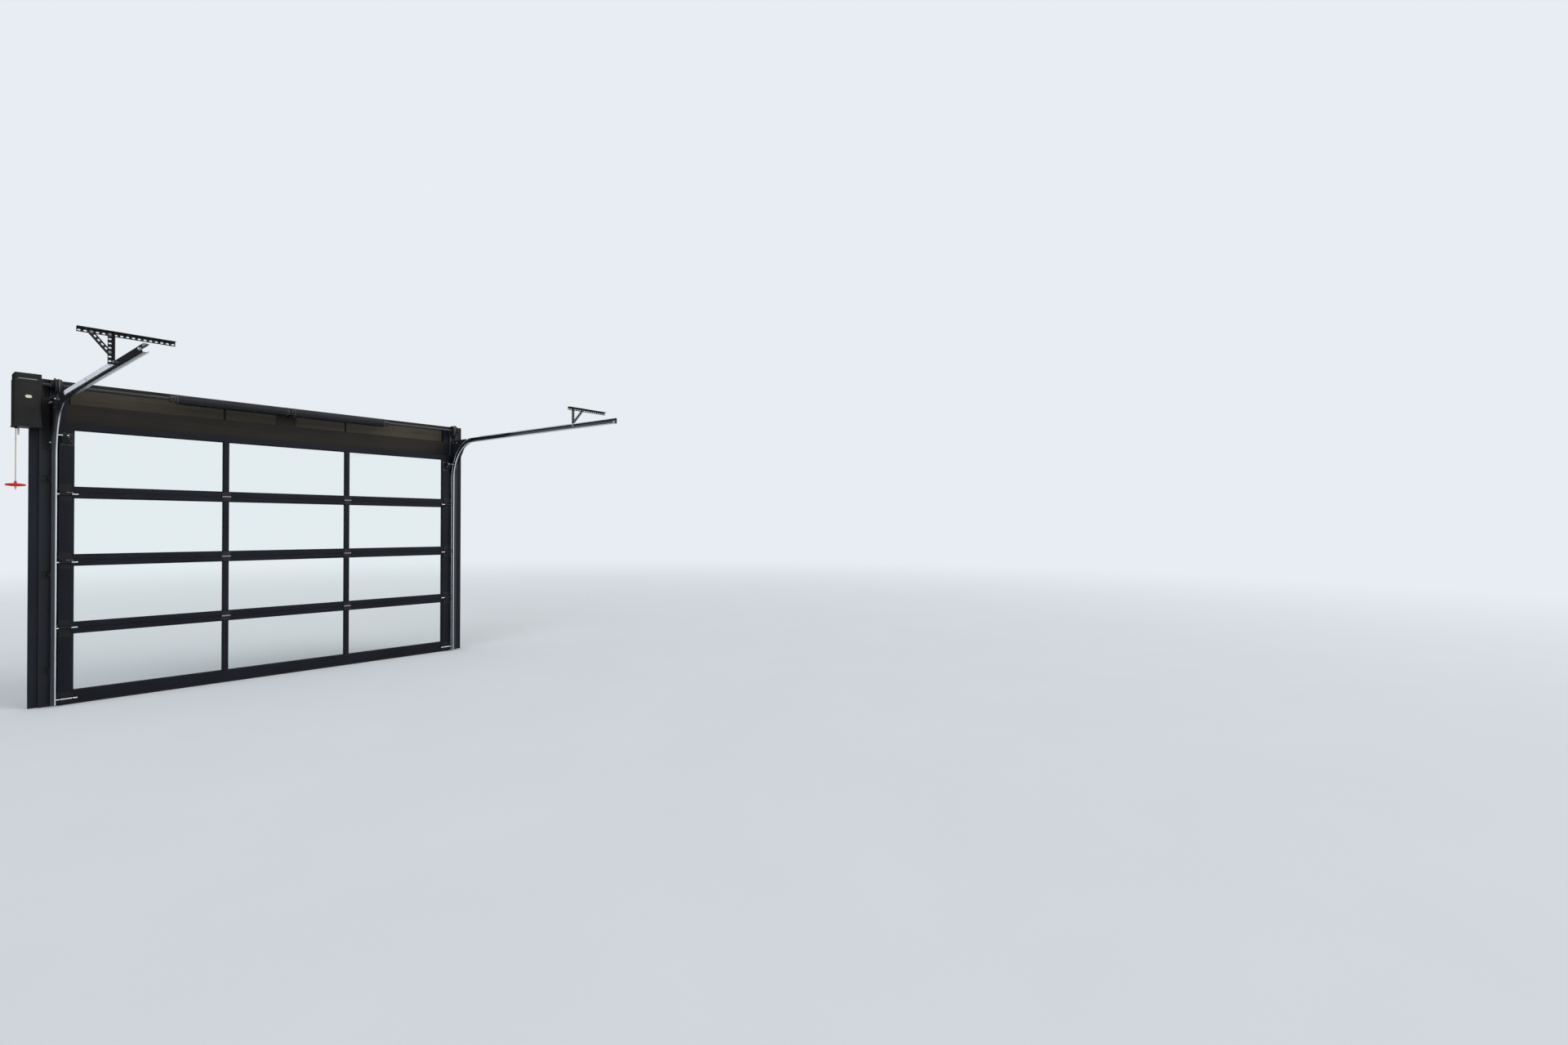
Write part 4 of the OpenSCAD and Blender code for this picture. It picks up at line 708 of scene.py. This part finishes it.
coil = Tree("coil", Turns=10.0, Length=0.1, Middle_Radius=0.03, Wire_Radius=0.003, Steps=20)
spiral = coil.node("GeometryNodeCurveSpiral", Resolution=coil.input("Steps"), Rotations=coil.input("Turns"),
                   Start_Radius=coil.input("Middle_Radius"), End_Radius=coil.input("Middle_Radius"),
                   Height=coil.input("Length"))
wire = coil.node("GeometryNodeCurvePrimitiveCircle", Resolution=WIRE_SIDES, Radius=coil.input("Wire_Radius"))
swept = coil.node("GeometryNodeCurveToMesh", Curve=spiral, Profile_Curve=wire, Fill_Caps=True)
laid = coil.node("GeometryNodeTransform", Geometry=swept, Rotation=(0, math.pi / 2, 0))
coil.finish(coil.node("GeometryNodeSetShadeSmooth", Geometry=laid), spring_paint)

inner = SPRING_LEN - 2 * WIRE_R
for side, name in ((1, "right_spring"), (-1, "left_spring")):
    piece = grow(name + "_coil", coil, points("coil_start", [(0, 0, 0)]), spring_paint, "spring_steel",
                 Turns=inner / (2 * WIRE_R) * TURNS_KEPT, Length=inner / 1000,
                 Middle_Radius=(SPRING_R - WIRE_R) / 1000, Wire_Radius=WIRE_R * WIRE_KEPT / 1000,
                 Steps=STEPS_A_TURN)
    start = PAD_X + side * (SPRING_START + WIRE_R) - (inner if side < 0 else 0)
    piece.data.transform(Matrix.Translation(above_floor(start, *SHAFT)))
    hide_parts(name)

# %% [markdown]
# ## Bolts, nuts and screws
# A door like this is held by well over a hundred fasteners, and in the photograph they are the small dots
# along the track and on the hinges. One tree makes them all: a hexagonal head with its edge turned down, a
# washer under it, and for a nut the end of its bolt. It places a copy on each point of a start mesh and turns
# it to face along the point's own direction. Every family has its own sizes, and is bright zinc, dull zinc,
# pale like the galvanised strip, or painted black with what it holds.

# %% The fastener tree
CAP_TOP, CAP_FOOT, CAP_DEPTH, THREAD_SHARE, SPIN_SEED = 0.62, 0.87, 0.18, 0.52, 7

bolts = Tree("fastener", Across=0.005, Height=0.004, Washer=0.008, Washer_Thickness=0.0015, Thread=0.0)
across, high, thick = (bolts.input(label) for label in ("Across", "Height", "Washer_Thickness"))
head_top = bolts.math("ADD", high, thick)
hexagon = bolts.node("GeometryNodeMeshCylinder", Vertices=6, Radius=across, Depth=high)
hexagon = bolts.lifted(hexagon, bolts.math("ADD", bolts.share(high, 0.5), thick))
cap = bolts.node("GeometryNodeMeshCone", Vertices=18, Radius_Top=bolts.share(across, CAP_TOP),
                 Radius_Bottom=bolts.share(across, CAP_FOOT), Depth=bolts.share(high, CAP_DEPTH))
washer = bolts.node("GeometryNodeMeshCylinder", Vertices=24, Radius=bolts.input("Washer"), Depth=thick)
washer = bolts.lifted(washer, bolts.share(thick, 0.5))
thread = bolts.node("GeometryNodeMeshCylinder", Vertices=14, Radius=bolts.share(across, THREAD_SHARE),
                    Depth=bolts.share(bolts.input("Thread"), 2.0))
whole = bolts.node("GeometryNodeJoinGeometry",
                   Geometry=[bolts.lifted(thread, head_top), washer, bolts.lifted(cap, head_top), hexagon])
facing = bolts.node("GeometryNodeInputNamedAttribute", {"data_type": "FLOAT_VECTOR"}, Name="facing")
spun = bolts.node("FunctionNodeRandomValue", {"data_type": "FLOAT"}, out=1, _2=0.0, _3=math.pi / 3,
                  Seed=SPIN_SEED)
spin = bolts.node("FunctionNodeEulerToRotation", Euler=bolts.node("ShaderNodeCombineXYZ", Z=spun))
aligned = bolts.node("FunctionNodeAlignRotationToVector", {"axis": "Z"}, Vector=facing)
turned_head = bolts.node("FunctionNodeRotateRotation", {"rotation_space": "LOCAL"}, Rotation=aligned,
                         Rotate_By=spin)
bolts.finish(bolts.node("GeometryNodeInstanceOnPoints", Points=bolts.input("Geometry"), Instance=whole,
                        Rotation=turned_head), zinc)

BLACK = {"material": powder, "slot": "black_steel"}


def sized(across, height, washer, thick, thread=0.0):
    """A family's sizes in metres: the head's radius and height, the washer's, and the thread past a nut."""
    return {"Across": across, "Height": height, "Washer": washer, "Washer_Thickness": thick, "Thread": thread}


def fasteners(name, spots, sizes, material=zinc, slot="zinc"):
    """Grows one family: spots holds places above the floor, each with the direction that its head faces."""
    mesh = points(name, [above_floor(*place) for place, _ in spots])
    facing = mesh.attributes.new("facing", "FLOAT_VECTOR", "POINT")
    facing.data.foreach_set("vector", [c for _, way in spots for c in way])
    grow(name, bolts, mesh, material, slot, **sizes)


def mirrored(spots):
    """The same places on both sides of the door."""
    return [((s * x, y, z), (s * a, b, c)) for s in (1, -1) for (x, y, z), (a, b, c) in spots]


IN, OUT, SIDE, INWARD, DOWN = (0, -1, 0), (0, 1, 0), (1, 0, 0), (-1, 0, 0), (0, 0, -1)
print("fastener tree ready")

# %% [markdown]
# ## Where the bolts sit
# Each place below follows the solid model's own sizes: the web of the track, the plates and angles outside
# it, and the slots of the hangers, which are one inch apart. Where both sides are alike, only the right one
# is written down, and `mirrored` adds the left.

# %% Track and plates
WEB_IN, WEB_OUT, ANGLE_OUT, PLATE_OUT = 1566, 1568, 1570.5, 1571
BOARD_FACE, PAD_FACE, FOOT_X, BEARING_X = -60, -41, 1591.5, 1588
BRACKET_Y, BRACKET_Z, PLATE_FEET_Z = -101, (277, 1005, 1733), (1997, 2294)
BEARING_Z, PAD_Z, PAD_HALF = (2366, 2466), (2408, 2472), 24
BEND_Y, BEND_Z, BEND_R, BEND_LOW, BEND_HIGH = -511.5, 1915, 400, 13.5, 58
PLATE_Y, PLATE_Z, SPLICE, ANGLE_Y, ANGLE_Z = (-70, -141), 2312, (-325, 2317), (-700, -1450, -2150), 2323
HANGER_BOLT, END_STOP = (-2236, 2326), (-2824, 2313)


def on_bend(degrees):
    """A place on the middle line of the track's bend, as y and z."""
    a = math.radians(degrees)
    return BEND_Y + BEND_R * math.cos(a), BEND_Z + BEND_R * math.sin(a)


lags = [((FOOT_X, BOARD_FACE, z), IN) for z in BRACKET_Z + PLATE_FEET_Z]
lags = mirrored(lags + [((BEARING_X, BOARD_FACE, z), IN) for z in BEARING_Z])
lags += [((PAD_X + s, PAD_FACE, z), IN) for s in (-PAD_HALF, PAD_HALF) for z in PAD_Z]
fasteners("board_lags", lags, sized(0.0072, 0.0052, 0.0105, 0.0018), **BLACK)

NUT = sized(0.0066, 0.0050, 0.0084, 0.0014, thread=0.003)
plate_spots = [on_bend(BEND_LOW), *((y, PLATE_Z) for y in PLATE_Y), SPLICE]
nuts = [((PLATE_OUT, *place), SIDE) for place in plate_spots]
fasteners("track_nuts", mirrored(nuts + [((ANGLE_OUT, y, ANGLE_Z), SIDE) for y in ANGLE_Y]), NUT)
fasteners("plate_bolts", mirrored([((WEB_OUT, y, PLATE_Z), INWARD) for y in PLATE_Y]),
          sized(0.0066, 0.0046, 0.0084, 0.0014))
fasteners("track_stops", mirrored([((WEB_OUT, *END_STOP), SIDE)]),
          sized(0.0072, 0.0056, 0.0096, 0.0016, thread=0.004))
fasteners("track_bolt_heads", mirrored([((WEB_IN, *place), INWARD) for place in (HANGER_BOLT, END_STOP)]),
          sized(0.0066, 0.0028, 0.0086, 0.0018), material=galvanised)
nuts = [((PLATE_OUT, BRACKET_Y, z), SIDE) for z in BRACKET_Z] + [((PLATE_OUT, *on_bend(BEND_HIGH)), SIDE)]
fasteners("bracket_nuts", mirrored(nuts), NUT, **BLACK)

# %% Hangers
SLOT, STEEL, LEG_X, LEG_Y, TOP_SLOT_Z = 25.4, 2.5, 1586.5, -2215, 2481.5
TOP_Z, SLOT_INSET = 2500, 18.5
LAG_Y, LAG_Z = LEG_Y - SLOT_INSET, TOP_Z - STEEL

braced = [(-LEG_X, TOP_SLOT_Z - 4 * SLOT), (-LEG_X - 3 * SLOT, TOP_SLOT_Z),
          (LEG_X, TOP_SLOT_Z - 5 * SLOT), (LEG_X + 4 * SLOT, TOP_SLOT_Z)]
nuts = mirrored([((ANGLE_OUT, *HANGER_BOLT), SIDE), ((LEG_X, LEG_Y, TOP_SLOT_Z), OUT)])
fasteners("hanger_nuts", nuts + [((x, LEG_Y + STEEL, z), OUT) for x, z in braced],
          sized(0.0066, 0.0050, 0.0082, 0.0014, thread=0.003), material=dull_zinc)
heads = [((x, LEG_Y - (2 if abs(x) == LEG_X else 1) * STEEL, z), IN) for x, z in braced]
fasteners("hanger_bolts", heads + mirrored([((LEG_X, LEG_Y - 2 * STEEL, TOP_SLOT_Z), IN)]),
          sized(0.0066, 0.0046, 0.0082, 0.0014), material=dull_zinc)
lags = [((-LEG_X + (i - 5) * SLOT, LAG_Y, LAG_Z), DOWN) for i in (1, 8, 14)]
lags += [((LEG_X + (i - 2) * SLOT, LAG_Y, LAG_Z), DOWN) for i in (0, 8, 15)]
fasteners("ceiling_lags", lags, sized(0.0072, 0.0052, 0.0095, 0.0018), **BLACK)

# %% Hinges and brackets on the leaf
SECTION, FIRST_JOINT, LEAF_FACE, POST_X = 524, 588.25, -90.5, 486.667
END_HINGE = ((1471, 52), (1507, 52), (1489, 50))
BOTTOM_BRACKET = ((1466, 30), (1500, 30), (1504, 90), (1480, 92))
TOP_BRACKET = ((1456, 2044), (1494, 2044))
HINGE_X, HINGE_Z = (-19, 19), (-23, 23)
STILE_X, STILE_Y, RAIL_Z, RAIL_HALF, LOWEST, HIGHEST = 1524, -55, 588, 22, 64, 2142

joints = [FIRST_JOINT + SECTION * k for k in range(3)]
screws = [((POST_X + x, LEAF_FACE, z + dz), IN) for z in joints for x in HINGE_X for dz in HINGE_Z]
screws += [((x, LEAF_FACE, z + s * dz), IN) for z in joints for s in (1, -1) for x, dz in END_HINGE]
screws += [((x, LEAF_FACE, z), IN) for x, z in BOTTOM_BRACKET + TOP_BRACKET]
fasteners("leaf_screws", mirrored(screws), sized(0.0048, 0.0036, 0.0066, 0.0011), **BLACK)
edge_z = [RAIL_Z + SECTION * k + dz for k in range(3) for dz in (-RAIL_HALF, RAIL_HALF)]
edge_z = [LOWEST, *edge_z, HIGHEST]
fasteners("stile_screws", mirrored([((STILE_X, STILE_Y, z), SIDE) for z in edge_z]),
          sized(0.0042, 0.0026, 0.0056, 0.0008))

# %% Panels over the head board
PANEL_ENDS = ((-1455, -516), (-476, -113), (77, 476), (516, 1455))
PANEL_INSET, PANEL_FACE, PANEL_ROWS = 25, -27, (2345, 2425)

fasteners("panel_screws", [((x, PANEL_FACE, z), IN) for low, high in PANEL_ENDS
                           for x in (low + PANEL_INSET, high - PANEL_INSET) for z in PANEL_ROWS],
          sized(0.0042, 0.0018, 0.0050, 0.0006), **BLACK)

# %% Cones and drums
CONE_HUB, CONE_HUB_R, DRUM_X, DRUM_HUB_R = 44, 26, 1511, 22


def set_pair(x, radius):
    """The two set screws of one hub: one on its front, one under it."""
    y, z = SHAFT
    return [((x, y - radius, z), IN), ((x, y, z - radius), DOWN)]


set_screws = []
for side in (1, -1):
    cone_x = PAD_X + side * (SPRING_START + SPRING_LEN + CONE_HUB)
    set_screws += set_pair(cone_x, CONE_HUB_R) + set_pair(side * DRUM_X, DRUM_HUB_R)
fasteners("set_screws", set_screws, sized(0.0052, 0.0065, 0.004, 0.0005), **BLACK)

# %% [markdown]
# ## Gaskets round the panes
# Glass never touches metal. On both faces of each pane a soft black gasket fills the gap to the frame, and it
# shows as a thin matt line round the glass. All twenty-four follow one rule, a rectangle swept by a small
# square, so one tree places them on two points for each pane.

# %% Gasket tree
PANE_W, PANE_H, PANE_PITCH, PANE_FOOT, PANE_FACES = 933.33, 437.5, 973.33, 107.5, (-73.2, -63.8)

gasket = Tree("gasket", Wide=0.9, High=0.4, Thick=0.003, Corner=0.002)
line = gasket.node("GeometryNodeCurvePrimitiveQuadrilateral",
                   Width=gasket.math("SUBTRACT", gasket.input("Wide"), gasket.input("Thick")),
                   Height=gasket.math("SUBTRACT", gasket.input("High"), gasket.input("Thick")))
line = gasket.node("GeometryNodeFilletCurve", Curve=line, Radius=gasket.input("Corner"))
square = gasket.node("GeometryNodeCurvePrimitiveQuadrilateral", Width=gasket.input("Thick"),
                     Height=gasket.input("Thick"))
ring = gasket.node("GeometryNodeCurveToMesh", Curve=line, Profile_Curve=square)
upright = gasket.node("GeometryNodeTransform", Geometry=ring, Rotation=(math.pi / 2, 0, 0))
gasket.finish(gasket.node("GeometryNodeInstanceOnPoints", Points=gasket.input("Geometry"), Instance=upright),
              rubber)

middles = [(x * PANE_PITCH, PANE_FOOT + SECTION * k + PANE_H / 2) for x in (-1, 0, 1) for k in range(4)]
pane_faces = points("pane_faces", [above_floor(x, y, z) for x, z in middles for y in PANE_FACES])
grow("glass_gaskets", gasket, pane_faces, rubber, "rubber", Wide=PANE_W / 1000, High=PANE_H / 1000)

# %% [markdown]
# ## Turned pieces
# The bearing's race, the rope's ferrule and the tube beside the rope are all turned: one outline goes round
# an axis. A short function gives the rings of any of them from an outline of radius and height. The race and
# the ferrule are hoops, so their outline comes back to its first point.

# %% Turned pieces
RACE_X, FERRULE_Z, TURNED_SIDES = 1577, 2006, 40
ROPE_MM = (ROPE_X * 1000, ROPE_Y * 1000)


def turned(outline, centre, axis="z", sides=TURNED_SIDES):
    """Rings of an outline of (radius, height) pairs round an axis through a centre above the floor."""
    loops = []
    for radius, height in outline:
        loop = []
        for a in round_angles(sides):
            u, v, w = radius * math.cos(a), radius * math.sin(a), height
            offset = {"z": (u, v, w), "x": (w, u, v)}[axis]
            loop.append(above_floor(*(c + d for c, d in zip(centre, offset))))
        loops.append(loop)
    return loops


race = [(13.3, 0.05), (19.0, 0.05), (19.0, 1.0), (18.2, 1.4), (14.0, 1.4), (13.3, 0.9), (13.3, 0.05)]
races = [turned([(r, s * h) for r, h in race], (s * RACE_X, *SHAFT), "x") for s in (1, -1)]
lofted("bearing_races", races, smooth=False, hoop=True, slot="zinc", material=zinc)

ferrule = [(3.1, 0), (4.2, 0), (4.5, 0.8), (4.5, 4.2), (4.0, 5), (4.0, 7), (4.5, 7.8), (4.5, 11.2),
           (4.2, 12), (3.1, 12), (3.1, 0)]
lofted("rope_ferrule", [turned(ferrule, (*ROPE_MM, FERRULE_Z))], smooth=False, hoop=True, slot="zinc",
       material=zinc)
print("races and ferrule made")

# %% [markdown]
# ## The opener's small parts
# The opener is a tall moulded box. Its front has a pale lens for a small lamp, a narrow light grey strip
# under the cap and a raised rim round its lower half. The strip is painted highlight: it stands in for the
# light that the cap's lower edge catches. A pale sleeve beside the rope holds the release inside the box.
# Screws hold the front to the base, and slots near the foot let cool air in. The lens is thinner than its
# recess, so its edge stays in shadow. The rim is one more rectangle of the gasket tree.

# %% Lens, painted highlight strip and rim
LENS_X, LENS_Z, HIGHLIGHT_STRIP_X, HIGHLIGHT_STRIP_Z, RIM_FACE, RIM_Z = -1699, 2326, -1703.5, 2453.4, -230.4, 2213


def moulded_slab(centre, wide, high, front, back, radius, soft=0.6, steps=8):
    """Rings of a plate with round corners that stands in x and z, with a softened front edge."""
    loops = []
    for inset, y in ((0, back), (0, front + soft), (soft, front)):
        loop = []
        for cx, cz, start in ((1, 1, 0), (-1, 1, 90), (-1, -1, 180), (1, -1, 270)):
            for i in range(steps + 1):
                a = math.radians(start + 90 * i / steps)
                x = cx * (wide / 2 - radius) + (radius - inset) * math.cos(a)
                z = cz * (high / 2 - radius) + (radius - inset) * math.sin(a)
                loop.append(above_floor(centre[0] + x, y, centre[1] + z))
        loops.append(loop)
    return loops


lens_glow = moulded("lens_pale", (0.58, 0.55, 0.38), (0.70, 0.67, 0.48), rough=0.32, grain=900, strength=0.1,
                    spec=0.5)
# Painted highlight: this light grey glossy strip stands in for the light caught by the cap's lower edge.
painted_highlight_grey = moulded("painted_highlight_grey", (0.30, 0.30, 0.30), (0.40, 0.40, 0.40), rough=0.2, grain=900,
                     strength=0.05, spec=0.6, coat=0.5)
lens = moulded_slab((LENS_X, LENS_Z), wide=35, high=23, front=-229.2, back=-226.9, radius=11.4)
highlight_strip = moulded_slab((HIGHLIGHT_STRIP_X, HIGHLIGHT_STRIP_Z), wide=95, high=4.4, front=-230.6, back=-226.9, radius=2.1)
lofted("opener_lens", [lens], smooth=False, material=lens_glow)
lofted("painted_cap_highlight", [highlight_strip], smooth=False, material=painted_highlight_grey)
rim = grow("cover_rim", gasket, points("rim_start", [(0, 0, 0)]), housing, "housing", Wide=0.112, High=0.186,
           Thick=0.0016)
rim.data.transform(Matrix.Translation(above_floor(LENS_X, RIM_FACE, RIM_Z)))

# %% Sleeve, side slots and screws
LOUVRE_X, LOUVRE_Y, LOUVRE_Z, LOUVRES = (-1770.05, -1627.95), (-205, -120), 2130, 9
LOUVRE_PITCH, LOUVRE_HIGH, LOUVRE_OUT = 9, 3.2, 0.5
SLEEVE, SLEEVE_X, SLEEVE_Z = [(4.2, 0), (5.2, 1.2), (5.2, 14), (5.6, 15), (5.6, 57.9)], -1741.5, 2046
COVER_FACE, COVER_SCREW_X, COVER_SCREW_Z = -230, (-1758, -1640), (2126, 2442)


def louvre(x, out, z):
    """The two end rings of one slot, from the side of the box outwards."""
    near, far = LOUVRE_Y
    corners_yz = ((near, z), (far, z), (far, z + LOUVRE_HIGH), (near, z + LOUVRE_HIGH))
    return [[above_floor(x + dx, *corner) for corner in corners_yz] for dx in (0, out)]


sleeve_pale = moulded("sleeve_pale", (0.42, 0.41, 0.38), (0.52, 0.51, 0.48), rough=0.42, grain=900,
                      strength=0.1)
lofted("release_sleeve", [turned(SLEEVE, (SLEEVE_X, ROPE_MM[1], SLEEVE_Z))], material=sleeve_pale)
louvres = [louvre(x, s * LOUVRE_OUT, LOUVRE_Z + LOUVRE_PITCH * i) for i in range(LOUVRES)
           for x, s in zip(LOUVRE_X, (-1, 1))]
lofted("opener_louvres", louvres, smooth=False, slot="housing", material=rubber)
fasteners("opener_screws", [((x, COVER_FACE, z), IN) for x in COVER_SCREW_X for z in COVER_SCREW_Z],
          sized(0.0034, 0.0012, 0.0046, 0.0006), **BLACK)

# %% [markdown]
# ## The knot under the handle
# The rope runs through the handle and is knotted below it. A knot of braided rope is a lump of crossing
# strands. Here it is one skin that swells and narrows again, with soft bulges that cross over it, and a short
# tail that frays a little at its end.

# %% Knot
KNOT_TOP, KNOT_LEN, KNOT_R, KNOT_SHARE, TAIL_R, FRAY = 1667, 24, 6.2, 0.7, 3.0, 0.8
NECK_SHARE, NECK_R, FRAY_FROM = 0.08, 2.6, 0.75
KNOT_RINGS, KNOT_SIDES, BULGE = 45, 28, 0.12


def knot_radius(t):
    """A narrow neck, then the knot over its share of the length, then a tail that widens at its end."""
    knot = KNOT_R * math.sin(math.pi * t / KNOT_SHARE) ** 0.6 if t < KNOT_SHARE else 0
    tail = TAIL_R + FRAY * max(0, (t - FRAY_FROM) / (1 - FRAY_FROM))
    return max(knot, tail if t > NECK_SHARE else NECK_R)


def knot_ring(t):
    x, y = ROPE_MM
    loop = []
    for a in round_angles(KNOT_SIDES):
        r = knot_radius(t) * (1 + BULGE * math.cos(3 * a + 9 * t) * math.cos(2 * a - 7 * t))
        loop.append(above_floor(x + r * math.cos(a), y + r * math.sin(a), KNOT_TOP - KNOT_LEN * t))
    return loop


knot_rings = [knot_ring(i / (KNOT_RINGS - 1)) for i in range(KNOT_RINGS)]
lofted("rope_knot", [knot_rings], slot="rope", material=rope_yarn)
print("knot made")

# %% [markdown]
# ## Beads on the weather seal
# The flat seal between the boards and the leaf ends in a soft round bead that the leaf presses on. It shows
# outdoors, as a dark line down both sides and along the top of the leaf.

# %% Seal beads
BEAD_X, BEAD_Y, BEAD_FOOT, BEAD_TOP, BEAD_R = 1501, -41, 1, 2145, 2.8


def bead_line(start, end, sides=12):
    """The two end rings of a round bead between two places above the floor."""
    a, b = Vector(above_floor(*start)), Vector(above_floor(*end))
    along = (b - a).normalized()
    across = along.orthogonal().normalized()
    other = along.cross(across)
    return [[p + (across * math.cos(t) + other * math.sin(t)) * BEAD_R / 1000 for t in round_angles(sides)]
            for p in (a, b)]


beads = [bead_line((s * BEAD_X, BEAD_Y, BEAD_FOOT), (s * BEAD_X, BEAD_Y, BEAD_TOP + 1)) for s in (1, -1)]
beads.append(bead_line((-BEAD_X, BEAD_Y, BEAD_TOP), (BEAD_X, BEAD_Y, BEAD_TOP)))
lofted("seal_beads", beads, slot="rubber", material=rubber)
